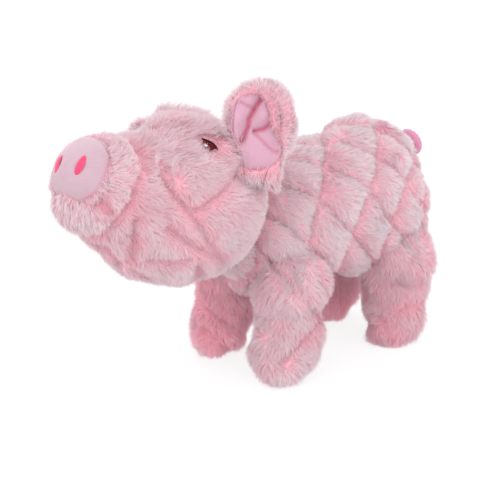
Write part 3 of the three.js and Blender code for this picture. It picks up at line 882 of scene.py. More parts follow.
def ear_half_width(z):
    round_tip = np.sqrt(np.clip(1 - (z / EAR_HEIGHT) ** 5, 0, 1))
    return EAR_WIDTH / 2 * smooth_share(EAR_WIDTH_SHARES, z / EAR_HEIGHT) * round_tip


def ear_basis(side):
    place, rise, facing = (np.array(part, float) for part in EARS[side])
    rise = unit(rise)
    width = unit(np.cross(facing, rise))
    return HEAD_MIDDLE + place * HEAD_RADIUS, np.stack([width, np.cross(rise, width), rise], 1)


def ear_place(side, points):
    root, basis = ear_basis(side)
    return root + points @ basis.T


def ear_back_skin():
    tip = EAR_HEIGHT - EAR_PILE_DEPTH
    heights = np.concatenate([np.linspace(0.5, 46, 56), 46 + (tip - 46) * np.sin(np.linspace(0.05, 1.55, 28))])
    half = np.maximum(ear_half_width(heights + 2.5) - EAR_PILE_DEPTH, 0.4)
    around = ring_angles(120)
    across = np.cos(around)[None, :] * half[:, None]
    rim = np.clip((half[:, None] - np.abs(across)) / EAR_MARGIN, 0, 1)
    high = (1 - ramp(heights, EAR_LINING_TOP * EAR_HEIGHT - 4, EAR_LINING_TOP * EAR_HEIGHT + 4))[:, None]
    puff = 3.4 * np.sqrt(np.clip(1 - (1 - rim) ** 2, 0, 1)) * np.minimum(1, half[:, None] / 10)
    front = puff * (1 - 0.7 * ramp(rim, 0.7, 1.0) * high)
    rear = -(EAR_THICKNESS - 2.0) * np.abs(np.sin(around))[None, :] * np.minimum(1, half[:, None] / 12)
    depth = np.where(np.sin(around)[None, :] > 0, front, rear)
    flat = np.stack([across, depth, np.broadcast_to(heights[:, None], across.shape)], -1)
    skin = Skin(ear_bent(flat), ear_bent(np.array([0, 0, 0.0])), ear_bent(np.array([0, 0, tip])))
    skin.place(lambda points: ear_place("left", points))
    return skin


def to_other_ear(points):
    """From a place on the left ear to the same one on the right ear."""
    root, basis = ear_basis("left")
    placed = ear_place("right", ((points - root) @ basis) * [-1, 1, 1]).reshape(-1, 3)
    for push in FAR_EAR_NUDGES:
        placed = pushed(placed, *push)
    return placed.reshape(points.shape)


def way_on_other_ear(vectors):
    return ((vectors @ ear_basis("left")[1]) * [-1, 1, 1]) @ ear_basis("right")[1].T


ear = ear_back_skin()
ear.nudge(EAR_NUDGES)
ear.settle()
print("ear skin:", len(ear.points), "points")

# %% [markdown]
# Plush shows as a band between the satin and the ear's outline. A pixel's place across that band, from 0 at the
# satin's edge to 1 at the outline, says how far the cloth stands forward there and how long its pile is. Both edges
# are kept as reaches from the middle of the ear, at turns round it.

# %% Band round the lining
LINING_ROWS = [94, 98, 104, 110, 116, 123, 130, 139, 145, 152, 157, 164, 168, 170.3]
LINING_LEFT = [250, 240, 237, 235.5, 234.3, 234, 233.8, 236, 240, 241.5, 242, 243, 245, 249]
LINING_RIGHT = [257, 260.5, 265.5, 267.5, 269, 271.5, 275, 278.3, 281, 281.5, 280, 274.5, 268, 262]
EAR_CENTRE = np.array([257.0, 135.0])
BAND_TURNS = np.linspace(-np.pi, np.pi, 73)[:-1]
TURN_WINDOW = 0.09
DRAWN_STEPS = 12


def turn_and_reach(pixels):
    outward = pixels - EAR_CENTRE
    return np.arctan2(outward[:, 1], outward[:, 0]), np.linalg.norm(outward, axis=1)


def reach_by_turn(pixels):
    turn, reach = turn_and_reach(pixels)
    near = np.abs((turn[None] - BAND_TURNS[:, None] + np.pi) % (2 * np.pi) - np.pi) < TURN_WINDOW
    return np.where(near, reach[None], 0).max(1)


def with_ones(pixels):
    return np.concatenate([np.ones((len(pixels), 1)), pixels], 1)


at_rim = np.abs(ear.normals @ camera_back) < 0.2
rim_pixels = seen_at(ear.points[at_rim])
rim_away = np.linalg.norm(ear.points[at_rim] - camera_place, axis=1)
rim_plane = np.linalg.lstsq(with_ones(rim_pixels), rim_away, rcond=None)[0]
left_edge, right_edge = (np.stack([edge, LINING_ROWS], 1) for edge in (LINING_LEFT, LINING_RIGHT))
satin_reach = reach_by_turn(drawn(np.concatenate([left_edge, right_edge[::-1], left_edge[:1]]), DRAWN_STEPS))
outline_reach = reach_by_turn(seen_at(ear.points))


def rim_distance(pixels):
    """How far from the camera the plane through the ear's outline lies."""
    return with_ones(pixels) @ rim_plane


def band_place(pixels):
    """Where pixels lie across the band of plush: 0 at the satin's edge, 1 at the ear's outline; and their turn."""
    turn, reach = turn_and_reach(pixels)
    inner, outer = (np.interp(turn, BAND_TURNS, edge, period=2 * np.pi) for edge in (satin_reach, outline_reach))
    return (reach - inner) / (outer - inner), turn


print("band reaches, pixels:", satin_reach.mean().round(1), outline_reach.mean().round(1))

# %% [markdown]
# The lining is larger than its hollow, so it folds. Its outline and its folds are followed from the picture, row by
# row, onto the ear, and each fold pulls the satin in while the parts between stand proud. The folds and the satin's
# edge are also painted darker, as painted shade. The plush round it comes forward to meet it. The other ear gets the
# same lining, mirrored.

# %% Ear linings
LINING_FOLDS = [
    ([(262, 98), (255, 108), (253, 112), (249, 119), (247.7, 128), (242, 141)], 4.0, 2.0),
    ([(240.5, 102.5), (247, 106), (254, 108.5)], 1.3, 1.3),
    ([(254.5, 131), (264, 128.8), (272, 123.6)], 3.2, 1.8),
    ([(254, 132), (260.4, 139), (268, 147), (275, 152.4), (278, 151.5)], 1.4, 1.2),
]
LINING_PUFFS = [
    ((239, 120), 9, 2.0), ((263, 116), 9, 2.6), ((249, 100), 8, 1.4), ((257, 156), 16, 2.2), ((269, 139), 9, 1.4),
]
LINING_GRID = (100, 72)
LINING_OVERLAP = 2.5
LINING_PROUD, UNDER_SATIN = 1.8, 1.2
DEPTH_SMOOTHINGS, RIM_SHARE = 60, 0.75
ROLL_RISE, ROLL_MORE, ROLL_TURN, ROLL_SPREAD = 3.0, 4.5, -0.35, 0.9


def lining_grid():
    """Points of the satin on the left ear, and how much painted shade each takes, in a fold or at the edge."""
    rows, columns = LINING_GRID
    share = np.linspace(0, 1, rows)
    high = LINING_ROWS[0] + (LINING_ROWS[-1] - LINING_ROWS[0]) * share
    left, right = (np.interp(high, LINING_ROWS, edge) for edge in (LINING_LEFT, LINING_RIGHT))
    across = np.linspace(0, 1, columns)[None, :]
    pixels = np.stack([left[:, None] + (right - left)[:, None] * across, high[:, None] + 0 * across], -1)
    outward = pixels - EAR_CENTRE
    reach = np.linalg.norm(outward, axis=-1)[..., None]
    pixels = EAR_CENTRE + outward * (1 + LINING_OVERLAP / reach * ramp(reach, 5, 18))
    depth = np.full((rows, columns), np.nan)
    for row in range(rows):
        for column in range(columns):
            found = ear.tree.ray_cast(camera_place.tolist(), sight(pixels[row, column]).tolist())
            if found[0] is not None:
                depth[row, column] = found[3]
    depth[np.isnan(depth)] = np.nanmedian(depth)
    for _ in range(DEPTH_SMOOTHINGS):
        padded = np.pad(depth, 1, mode="edge")
        depth = (padded[:-2, 1:-1] + padded[2:, 1:-1] + padded[1:-1, :-2] + padded[1:-1, 2:]) / 4
    depth = (1 - RIM_SHARE) * depth + RIM_SHARE * rim_distance(pixels.reshape(-1, 2)).reshape(depth.shape)
    relief, fold = np.zeros(depth.shape), np.zeros(depth.shape)
    for line, sink, width in LINING_FOLDS:
        apart = np.min(np.linalg.norm(pixels[:, :, None] - drawn(line, DRAWN_STEPS), axis=-1), axis=2)
        relief -= sink * (0.5 * bell(apart, width * 1.1) + 0.4 * bell(apart, width * 2.6))
        # Painted shade: the satin's colour is darkened along each fold.
        fold = np.maximum(fold, min(1, sink / 3.4) * bell(apart, width))
    for middle, reach, height in LINING_PUFFS:
        relief += height * bell(np.linalg.norm(pixels - middle, axis=-1), reach)
    edge = np.minimum(np.minimum(across, 1 - across), np.minimum(share, 1 - share)[:, None])
    relief -= 0.8 * (1 - ramp(edge, 0, 0.07))
    # Painted shade along the satin's edge as well.
    fold = np.clip(fold + 0.3 * (1 - ramp(edge, 0, 0.1)), 0, 1)
    ways = np.array([[sight(pixel) for pixel in row] for row in pixels])
    return camera_place + ways * (depth - LINING_PROUD - relief)[..., None], fold


def lining_panel(side, grid, fold):
    rows, columns = fold.shape
    row, column = np.meshgrid(np.arange(rows - 1), np.arange(columns - 1), indexing="ij")
    first = (row * columns + column).ravel()
    quads = np.stack([first, first + columns, first + columns + 1, first + 1], 1)
    panel = mesh_object(f"ear_lining_{side}_satin", grid.reshape(-1, 3), [quads], satin)
    marks = panel.data.attributes.new("fold", "FLOAT", "POINT")
    marks.data.foreach_set("value", fold.astype(np.float32).ravel())
    put(panel, f"ear_{side}", f"ear_lining_{side}", slot_name="satin")
    area = sum(face.area for face in panel.data.polygons)
    print(f"lining {side}: {area * 1e6:.0f} square mm")


def bring_forward(skin, grid):
    """The ear's front: a roll of plush round the satin, and cloth just under the satin itself."""
    pixels = seen_at(skin.points)
    across, turn = band_place(pixels)
    away = np.linalg.norm(skin.points - camera_place, axis=1)
    swell = ROLL_RISE + ROLL_MORE * bell((turn - ROLL_TURN + np.pi) % (2 * np.pi) - np.pi, ROLL_SPREAD)
    hump = np.sqrt(np.clip(1 - (2 * np.clip(across * 0.8 + 0.2, 0, 1) - 1) ** 2, 0, 1))
    laid = grid.reshape(-1, 3)
    nearest = nearest_index(*(np.pad(places, ((0, 0), (0, 1))) for places in (pixels, seen_at(laid))))
    under = np.linalg.norm(laid - camera_place, axis=1)[nearest] + UNDER_SATIN
    target = np.where(across < 0, under, rim_distance(pixels) - swell * hump)
    away = away + (target - away) * ramp(skin.normals @ camera_back, -0.1, 0.35)
    skin.points = camera_place + sight(pixels) * away[:, None]
    skin.settle()


lining, lining_fold_shade = lining_grid()
bring_forward(ear, lining)
lining_panel("left", lining, lining_fold_shade)
lining_panel("right", to_other_ear(lining), lining_fold_shade)
print("linings laid")

# %% [markdown]
# The snout is a smooth dome of velboa, sewn round its edge into the muzzle, with a hollow under each nostril.

# %% Snout
SNOUT_RADIUS = 19.6
SNOUT_MIDDLE = np.array([-93.2, 0.0, -1.6])
SNOUT_NUDGES = [((63, 146), 17, 4.0, 3.0), ((50, 166), 12, 2.5, 0)]
NOSTRIL_TURN = np.radians(27)


def snout_dome():
    tilts = np.radians(np.linspace(1.5, 118, 70))
    around = ring_angles(120)
    out = np.cos(tilts)[:, None] + 0 * around
    side = np.sin(tilts)[:, None] * np.cos(around)
    height = np.sin(tilts)[:, None] * np.sin(around)
    ways = np.stack([-out, side, height], -1)
    dimple = 0 * out
    for edge in (-1, 1):
        hollow = rotation("Z", -edge * NOSTRIL_TURN) @ rotation("Y", np.radians(6)) @ np.array([-1, 0, 0])
        apart = np.degrees(np.arccos(np.clip(ways @ hollow, -1, 1)))
        dimple = dimple + 1.2 * bell(apart, 14)
    seam = bell(np.degrees(tilts)[:, None] - 84, 3.0) * 1.2
    rings = SNOUT_MIDDLE + ways * (SNOUT_RADIUS - dimple - seam)[..., None]
    skin = Skin(rings, SNOUT_MIDDLE - [SNOUT_RADIUS, 0, 0], SNOUT_MIDDLE + [9.0, 0, 0])
    skin.place(head_place)
    return skin


snout = snout_dome()
snout.nudge(SNOUT_NUDGES)
snout.settle()
print("snout skin:", len(snout.points), "points")

# %% [markdown]
# Embroidery and seams are thread, and each stretch of thread is a thin tube, a little proud of the cloth. The
# linings are edged first, with one thick thread each, smoothed where it turns the corners.

# %% Threads and the linings' hems
HEM_RADIUS, HEM_PROUD = 0.75, 0.7


def threads(name, material, lines, radius):
    """Embroidery: each line of points is a thread, a thin tube with tapered ends."""
    points, blocks, start = [], [], 0
    around = ring_angles(6)
    for line in lines:
        line = np.asarray(line)
        way = unit(np.gradient(line, axis=0))
        first = unit(np.cross(way, camera_back))
        second = np.cross(first, way)
        taper = np.sqrt(np.sin(np.linspace(0.25, np.pi - 0.25, len(line))))[:, None, None] * radius
        ring = np.cos(around)[None, :, None] * first[:, None] + np.sin(around)[None, :, None] * second[:, None]
        points.append((line[:, None] + taper * ring).reshape(-1, 3))
        points.append(np.stack([line[0] - way[0] * radius * 0.6, line[-1] + way[-1] * radius * 0.6]))
        count = len(line) * 6
        blocks.append([block + start for block in girth_faces(len(line), 6, count, count + 1)])
        start += count + 2
    joined = [np.concatenate([block[index] for block in blocks])[:, ::-1] for index in range(3)]
    return mesh_object(name, np.concatenate(points), joined, material)


hem = np.concatenate([lining[:, 0], lining[-1, 1:-1], lining[::-1, -1], lining[0, -2:0:-1]])
for _ in range(6):
    hem = (np.roll(hem, 1, axis=0) + hem + np.roll(hem, -1, axis=0)) / 3
hem = np.concatenate([hem, hem[:2]]) + HEM_PROUD * camera_back
for side, line in (("left", hem), ("right", to_other_ear(hem))):
    put(threads(f"ear_hem_{side}", satin, [line], HEM_RADIUS), f"ear_{side}", slot_name="satin")
print("hems:", len(hem), "points each")

# %% [markdown]
# Each nostril is satin stitch: threads side by side up and down an upright oval, on the slope of the dome. A seam
# in a darker thread joins the dome to the muzzle.

# %% Nostrils and the snout's seam
NOSTRIL_HALF_HEIGHT, NOSTRIL_HALF_WIDTH = 6.2, 2.3
NOSTRIL_THREAD_RADIUS, SEAM_THREAD_RADIUS = 0.3, 0.26
NOSTRIL_RISES = {"left": 9, "right": 3}
CAP_LINE = [(104, 139), (106.5, 147), (108, 160), (105, 173), (100, 184), (94, 192), (84, 198), (72, 201)]
CAP_PROUD = 0.15


def nostril_threads(sign, rise):
    """Threads on one side of the dome, at so many degrees above its middle."""
    lines = []
    for across in np.linspace(-0.93, 0.93, 13):
        reach = NOSTRIL_HALF_HEIGHT * np.sqrt(1 - across**2)
        ups = np.linspace(-reach, reach, 9)
        turn = -sign * (NOSTRIL_TURN + ups * 0.007) - across * NOSTRIL_HALF_WIDTH / SNOUT_RADIUS
        tilt = np.radians(rise) + ups / SNOUT_RADIUS
        ways = np.stack([-np.cos(tilt) * np.cos(turn), -np.cos(tilt) * np.sin(turn), np.sin(tilt)], -1)
        proud = 0.25 + 0.55 * np.sqrt(np.clip(1 - (ups / 6.4) ** 2 - (across * 0.95) ** 2, 0, 1))
        line = head_place(SNOUT_MIDDLE + ways * (SNOUT_RADIUS - 0.75 + proud)[:, None])
        for push in SNOUT_NUDGES:
            line = pushed(line, *push)
        lines.append(line)
    return lines


for sign, (side, rise) in zip((-1, 1), NOSTRIL_RISES.items()):
    lines = nostril_threads(sign, rise)
    nostril = threads(f"nostril_{side}_stitch", nostril_thread, lines, NOSTRIL_THREAD_RADIUS)
    put(nostril, "head", f"nostril_{side}", slot_name="nostril_thread")
cap_line = on_skin(drawn(CAP_LINE, DRAWN_STEPS), snout.tree, CAP_PROUD)
far_cap_line = onto_skin(mirrored(cap_line), snout, CAP_PROUD)
put(threads("snout_seam", seam_thread, [cap_line, far_cap_line], SEAM_THREAD_RADIUS), "head", slot_name="velboa")
print("seam of the snout:", len(cap_line), "points")

# %% [markdown]
# An eye is stitched from its upper lid down to an uneven lower edge, with a dark thread along the lid and a pale
# glint. The near eye is followed from the picture, and the far one is its mirror image.

# %% Eyes
EYE_TOP = [(201.8, 138.6), (205.2, 139.6), (209.3, 141.3), (213.4, 143.7), (216, 146.4), (217.7, 149.4)]
EYE_UNDER = [
    (202.2, 140.6), (203.2, 143.4), (205, 143.8), (206.6, 144.8), (208, 147.5),
    (208.9, 151.4), (210.6, 150.0), (212.6, 149.8), (214.8, 148.8), (217.4, 149.6),
]
EYE_GLINT = [(204.4, 144.9), (206.2, 145.8), (208.4, 145.8)]
EYE_PROUD, LID_PROUD, FAR_EYE_PROUD = 4.3, 0.35, 2.0
EYE_SHORTENED = [-0.1, 0.3, 0.55]


def along_line(line, share):
    line = np.array(line, float)
    place = share * (len(line) - 1)
    return np.stack([np.interp(place, np.arange(len(line)), line[:, axis]) for axis in range(2)], -1)


def eye_threads():
    rng = np.random.default_rng(5)
    lines = []
    for share in np.linspace(0.02, 0.98, 24):
        top, under = along_line(EYE_TOP, share), along_line(EYE_UNDER, share)
        under = under + (top - under) * rng.choice(EYE_SHORTENED)
        pixels = top + (under - top) * np.linspace(0, 1, 7)[:, None]
        lines.append(on_skin(pixels, head.tree, EYE_PROUD))
    return lines


def beside(line, count, offsets, proud):
    """Threads along a line on the picture, each so many pixels below it."""
    pixels = along_line(line, np.linspace(0, 1, count))
    return [on_skin(pixels + [0, off], head.tree, proud) for off in offsets]


stitches = eye_threads()
eye_places = {"left": np.concatenate(stitches), "right": mirrored(np.concatenate(stitches))}
EYE_PARTS = [
    ("stitch", eye_thread, stitches, 0.3),
    ("lid", lid_thread, beside(EYE_TOP, 24, (-0.3, 0.4), EYE_PROUD + LID_PROUD), 0.34),
    ("glint", glint_thread, beside(EYE_GLINT, 6, (-0.5, 0.3), EYE_PROUD), 0.3),
]
for side in ("left", "right"):
    for part, material, lines, radius in EYE_PARTS:
        if side == "right":
            proud = FAR_EYE_PROUD + 0.3 * (part == "lid")
            lines = [onto_skin(mirrored(line), head, proud) for line in lines]
        nodes = [f"eye_{side}"] if part == "stitch" else []
        put(threads(f"eye_{side}_{part}", material, lines, radius), "head", *nodes, slot_name="eye_thread")
print("face ready")

# %% [markdown]
# The tail is a short velboa tube, stuffed tight, that curls round almost once. Fine ribs run round it where the
# cloth is gathered on the inside of its curve.

# %% Tail
TAIL_SEAT = np.array([83.5, 0.0, 121.5])
TAIL_PITCH, TAIL_TURN = np.radians(-24), np.radians(335)
TAIL_LOOP, TAIL_REACH = 7.5, 11.0
TAIL_THICKNESS, TAIL_NARROWING = 9.4, 1.4


def tail_points(position):
    out = ramp(position, 0, 0.3)
    loop = TAIL_LOOP * ramp(position, 0.1, 0.5)
    turn = TAIL_TURN * position
    reach = TAIL_REACH * (position + (out - position) * 0.75)
    return np.stack([reach, loop * np.cos(turn), loop * np.sin(turn)], -1)


def tail_tube():
    positions = np.linspace(0, 1, 130)
    line = tail_points(positions)
    tangents = unit(np.gradient(line, axis=0))
    normal = unit(np.cross(tangents[0], [0, 1, 0]))
    rings = []
    around = ring_angles(36)
    for index, position in enumerate(positions):
        normal = unit(normal - tangents[index] * np.dot(normal, tangents[index]))
        across = np.cross(tangents[index], normal)
        blunt = np.sqrt(min(1, (1 - position) / 0.25 + 0.02))
        radius = (TAIL_THICKNESS - TAIL_NARROWING * position) / 2 * blunt * (1 + 0.05 * np.sin(position * 150))
        rings.append(line[index] + radius * (np.cos(around)[:, None] * normal + np.sin(around)[:, None] * across))
    skin = Skin(np.array(rings), line[0] - tangents[0], line[-1] + tangents[-1] * 0.6)
    turn = rotation("Y", TAIL_PITCH)
    skin.place(lambda points: TAIL_SEAT + points @ turn.T)
    return skin


tail = tail_tube()
print("tail ready")

# %% [markdown]
# The pile is real strands: thin ribbons of two segments, sown at random over a skin. Loose strands would look like
# felt, so they are drawn together twice, into locks and then into tufts, and each tuft leans its own way. The
# ribbons turn outward, and their normals take a little of the skin's, which lights a puff as one soft form.

# %% Pile
STRAND_STEPS = np.array([0.0, 0.55, 1.0])
STRAND_TAPER = np.array([1.0, 0.8])
DENSITY = 2.4
STRAND_WIDTH = 0.3
TUFT_SIZE, LOCK_SIZE = 5.5, 1.15
LOCK_PULL, TUFT_PULL = 0.26, 0.06
FLOOR_GAP = 0.15
SKIN_NORMAL_SHARE = 0.15
TONE_HALF_WIDTH = 0.006


def turned_about(vectors, axis, angle):
    cosine, sine = np.cos(angle)[:, None], np.sin(angle)[:, None]
    along = (vectors * axis).sum(1)[:, None]
    return vectors * cosine + np.cross(axis, vectors) * sine + axis * along * (1 - cosine)


def strand_lines(points, normals, comb, length, lean, rng, tuft_size=TUFT_SIZE):
    """Three points along each strand, after the pile has been drawn into locks and tufts, and each strand's lock."""
    count = len(points)
    tufts = rng.choice(count, min(count, 8 + int(count / (DENSITY * tuft_size**2))), replace=False)
    locks = rng.choice(count, min(count, 20 + int(count / (DENSITY * LOCK_SIZE**2))), replace=False)
    tuft, lock = tufts[nearest_index(points, points[tufts])], locks[nearest_index(points, points[locks])]
    own, of_tuft, of_lock = (rng.normal(size=(count, 3)) for _ in range(3))
    swing = 0.22 * own[:, 0] + 0.14 * of_tuft[tuft, 0] + 0.2 * of_lock[lock, 0]
    tilt = lean + 0.1 * own[:, 1] + 0.05 * of_tuft[tuft, 1] + 0.1 * of_lock[lock, 1]
    comb = unit(comb - normals * (comb * normals).sum(1)[:, None])
    comb = turned_about(comb, normals, swing)
    tilt = np.clip(tilt, 0.1, 1.35)
    grown = length * (1 + 0.1 * own[:, 2] + 0.04 * of_tuft[tuft, 2] + 0.1 * of_lock[lock, 2])
    up, over = np.cos(tilt), np.sin(tilt)
    side = np.cross(normals, comb)
    curl = 0.1 * rng.normal(size=count)
    lines = np.empty((count, 3, 3))
    for step, s in enumerate(STRAND_STEPS):
        rise = up * s * (1 - 0.18 * s)
        run = over * s + 0.22 * s * s
        bend = curl * np.sin(s * 4.0) + 0.06 * s * own[:, 1]
        lines[:, step] = points + grown[:, None] * (
            normals * rise[:, None] + comb * run[:, None] + side * bend[:, None]
        )
    for centre, pull in ((lock, LOCK_PULL), (tuft, TUFT_PULL)):
        drawn_in = lines[centre] + (points - points[centre])[:, None, :] * 0.2
        share = (pull * STRAND_STEPS**1.4)[None, :, None]
        lines = lines * (1 - share) + drawn_in * share
    return lines, lock


def ribbons(name, lines, normals, tone, rng):
    """One mesh of ribbons. Its UVs hold the tone across and the way from root to tip along."""
    count = len(lines)
    way = unit(lines[:, 1] - lines[:, 0])
    flat = unit(np.cross(way, normals + 0.15 * rng.normal(size=(count, 3))))
    flat = turned_about(flat, way, rng.uniform(-0.6, 0.6, count))
    half = STRAND_WIDTH / 2 * STRAND_TAPER[None, :, None] * flat[:, None, :]
    points = np.empty((count, 5, 3))
    points[:, 0:4:2] = lines[:, :2] - half
    points[:, 1:4:2] = lines[:, :2] + half
    points[:, 4] = lines[:, 2]
    points[..., 2] = np.maximum(points[..., 2], FLOOR_GAP)
    base = (np.arange(count) * 5)[:, None]
    pile = mesh_object(name, points.reshape(-1, 3), [base + [0, 1, 3, 2], base + [2, 3, 4]], long_pile)
    mesh = pile.data
    corner = np.zeros(len(mesh.loops), np.int32)
    mesh.loops.foreach_get("vertex_index", corner)
    strand, place = corner // 5, corner % 5
    aside = np.where(place == 4, 0.0, np.where(place % 2 == 0, -TONE_HALF_WIDTH, TONE_HALF_WIDTH))
    tones = np.clip(tone, 0.02, 0.98)[strand] + aside
    along = 0.02 + 0.96 * STRAND_STEPS[place // 2]
    uv = mesh.uv_layers.new(name=BAKE_MAP)
    uv.data.foreach_set("uv", np.stack([tones, along], 1).astype(np.float32).ravel())
    facing = unit(np.cross(flat, way))
    soft = unit(SKIN_NORMAL_SHARE * normals + (1 - SKIN_NORMAL_SHARE) * facing)
    mesh.normals_split_custom_set_from_vertices(np.repeat(soft, 5, 0))
    return pile


def grow(name, skin, seed, comb, length, tone, lean=0.75, blockers=(), keep=None, pieces=1):
    """Pile on a skin. comb, length and tone are functions of the roots and their normals."""
    rng = np.random.default_rng(seed)
    points, normals = skin.scatter(DENSITY, rng)
    kept = np.ones(len(points), bool) if keep is None else keep(points, normals)
    for blocker, *reach in blockers:
        index = np.nonzero(kept)[0]
        kept[index[blocker.holds(points[index], *reach)]] = False
    points, normals = points[kept], normals[kept]
    lines, lock = strand_lines(points, normals, comb(points, normals), length(points, normals), lean, rng)
    shade = tone(points, normals) + 0.06 * rng.normal(size=len(points)) + 0.07 * rng.normal(size=len(points))[lock]
    print(name, len(points), "strands")
    return [
        ribbons(name if pieces == 1 else f"{name}_{index + 1}", lines[part], normals[part], shade[part], rng)
        for index, part in enumerate(np.array_split(np.arange(len(points)), pieces))
    ]


# %% [markdown]
# Pile lies the way it was combed: back and down on the body and legs, back over the head but outward from the
# muzzle's tip, and outward over each ear. A hand never combs evenly, so every direction wanders from place to place.

# %% Combing
BODY_COMB = np.array([0.75, 0.0, -0.65])
LEG_COMB = np.array([0.2, 0, -1.0])
HEAD_COMB = np.array([1.0, 0, -0.35])
MUZZLE_TIP = np.array([-94.0, 0, 0])
LINING_MIDDLE = np.array([0, 2.0, 16.0])


def wander(points, size, seed):
    """A direction that changes smoothly from place to place, over about so many millimetres."""
    return np.stack([waves(points, size, seed + axis) for axis in range(3)], 1)


def body_comb(points, normals):
    return BODY_COMB + 0.5 * wander(points, 40, 11) + 0.35 * wander(points, 11, 14)


def head_comb(points, normals):
    muzzle = ramp(-head_local(points)[:, 0], 58, 72)[:, None]
    radial = unit(points - head_place(MUZZLE_TIP))
    way = (HEAD_BASIS @ HEAD_COMB) * (1 - muzzle) + radial * muzzle * 1.4
    return way + 0.45 * wander(points, 34, 21) + 0.3 * wander(points, 11, 24)


def ear_comb(points, normals):
    """Outward from the middle of the lining, and over the rim on the back."""
    return unit(points - ear_place("left", LINING_MIDDLE)) + 0.3 * wander(points, 20, 71)


def leg_comb(points, normals):
    return LEG_COMB + 0.5 * wander(points, 25, 31)


def show(name, skin, material):
    return mesh_object(name, skin.points, skin.faces, material)


print("combs ready")

# %% [markdown]
# A skin stands for the cover and the filling in one soft piece, on the body as on the head. The body's pile is short
# in the quilting lines and painted pinker there, as painted shade; it is full and pale where a puff swells past one,
# painted paler on the back, as painted light, and pinker on the belly, which gets less light, as painted shade.

# %% Body, and the head's backing
BODY_PILE = 5.0

put(show("body_backing", body, backing), "trunk", "body_cover", "body_filling", fill=0.8)
put(show("head_backing", head, backing), "head", "head_cover", "head_filling", fill=0.85)


def body_length(points, normals):
    """Short just past a line, so that the line stays open, and full where the pile hangs over the next one."""
    (steep, _), (cross, _) = quilt_places(points)
    return BODY_PILE * (0.35 + 0.65 * ramp(np.minimum(steep, cross), 0.5, 7))


def body_tone(points, normals):
    (steep, _), (cross, _) = quilt_places(points)
    past = ramp(steep, 0, 24) * 0.42 + ramp(cross, 0, 22) * 0.2
    # Painted shade: pinker in the quilting lines.
    line = bell(np.minimum(steep, cross), 2.6) * 0.3
    # Painted light on the back, paler, and painted shade on the belly, pinker.
    height = 0.16 * ramp(points[:, 2], 110, 150) - 0.25 * (1 - ramp(points[:, 2], 50, 80))
    return 0.36 + past - line + height + 0.07 * waves(points, 30, 43) + 0.05 * waves(points, 12, 44)


for piece in grow(
    "body_pile", body, 41, body_comb, body_length, body_tone, lean=0.92,
    blockers=[(head, 2.0), *[(leg, 2.0) for leg in legs.values()]], pieces=3,
):
    put(piece, "trunk")

# %% [markdown]
# The head's pile is short in its seams, round the eyes and over the far side of the nose, and the muzzle is the palest
# place of all. In the seams it is painted pinker, as painted shade. None grows where the snout, the body or the near
# ear is sewn on.

# %% Head's pile
HEAD_PILE, HEAD_LEAST = 5.6, 0.4


def far_brow(points):
    """Where the muzzle's pile lies low: over the snout on the side away from the camera, which shows none of it."""
    local = head_local(points)
    return ramp(local[:, 1], -2, 4) * ramp(local[:, 2], -12, 0) * ramp(-local[:, 0], 72, 80)


def head_length(points, normals):
    """Short in seams and round the eyes, and long on the crown and cheeks."""
    eyes = np.minimum.reduce([distance_to(points, place[::3]) for place in eye_places.values()]) - EYE_PROUD
    in_seam, by_eye = ramp(head_seam_distance(points), 1, 8), ramp(eyes, 0.5, 4)
    rest = 1 - HEAD_LEAST
    long = HEAD_PILE * (HEAD_LEAST + rest * in_seam) * (HEAD_LEAST + rest * by_eye)
    return long * (1 - 0.8 * far_brow(points))


def head_tone(points, normals):
    cloud = 0.1 * waves(points, 34, 53) + 0.06 * waves(points, 13, 54)
    forward = -head_local(points)[:, 0]
    muzzle = 0.14 * ramp(forward, 74, 84) + 0.08 * ramp(150 - points[:, 2], 20, 60)
    # Painted shade: pinker towards the seams.
    return 0.16 + 0.44 * ramp(head_seam_distance(points), 0, 10) + muzzle + cloud


HEAD_BLOCKERS = [(snout, 1.0), (body, 12.0), (ear, 0.2, 7.0)]
first_half, second_half = grow(
    "head_pile", head, 51, head_comb, head_length, head_tone, blockers=HEAD_BLOCKERS, pieces=2,
)
put(first_half, "head", "muzzle_panel")
put(second_half, "head")

# %% [markdown]
# A leg's pile hangs down over its creases, and is painted pinker in them, as painted shade. At the top it takes the
# body's tones, so that the quilting runs on over the thigh. The hind legs are painted paler towards the rump, as
# painted light, and the two far legs, which stand in the pig's shade, are painted a strong, bright pink, as painted
# light in shade.

# %% Legs' pile
LEG_PILE = 6.0
# Low tones give the painted pink of shaded places, strongest on the two far legs.
LEG_TONES = {"front_left": 0.36, "front_right": -0.15, "rear_left": 0.04, "rear_right": -0.2}


def leg_pile(name, leg, seed):
    def length(points, normals):
        return LEG_PILE * (0.6 + 0.4 * ramp(lines_distance(points, leg.lines), 0.5, 6))

    def tone(points, normals):
        high = ramp(points[:, 2], 52, 76)
        cloud = 0.1 * waves(points, 22, 63) + 0.06 * waves(points, 10, 64)
        # Painted light: paler towards the rump; painted shade: pinker near the creases.
        pale = 0.3 * ramp(points[:, 0], 45, 80) + 0.24 * ramp(lines_distance(points, leg.lines), 0, 9)
        return (LEG_TONES[name] + pale + cloud) * (1 - high) + body_tone(points, normals) * high

    pile, = grow(f"leg_pile_{name}", leg, seed, leg_comb, length, tone, lean=0.8, blockers=[(body, 3.0)])
    put(pile, f"leg_{name}")


for index, (name, leg) in enumerate(legs.items()):
    nodes = f"leg_cover_{name}", f"leg_filling_{name}"
    put(show(f"leg_backing_{name}", leg, backing), f"leg_{name}", *nodes, fill=0.85)
    leg_pile(name, leg, 61 + index)

# %% [markdown]
# The ears' pile grows on the back and on the band round the lining. Next to the satin more than half of the strands
# lean inward over its hem, so that the join is ragged, as a sewn one is. The right ear carries the left one's pile.

# %% Ears' pile
EAR_PILE, EAR_TUFT_SIZE = 5.5, 6.0
INWARD_SHARE, INWARD_BAND = 0.6, 0.13

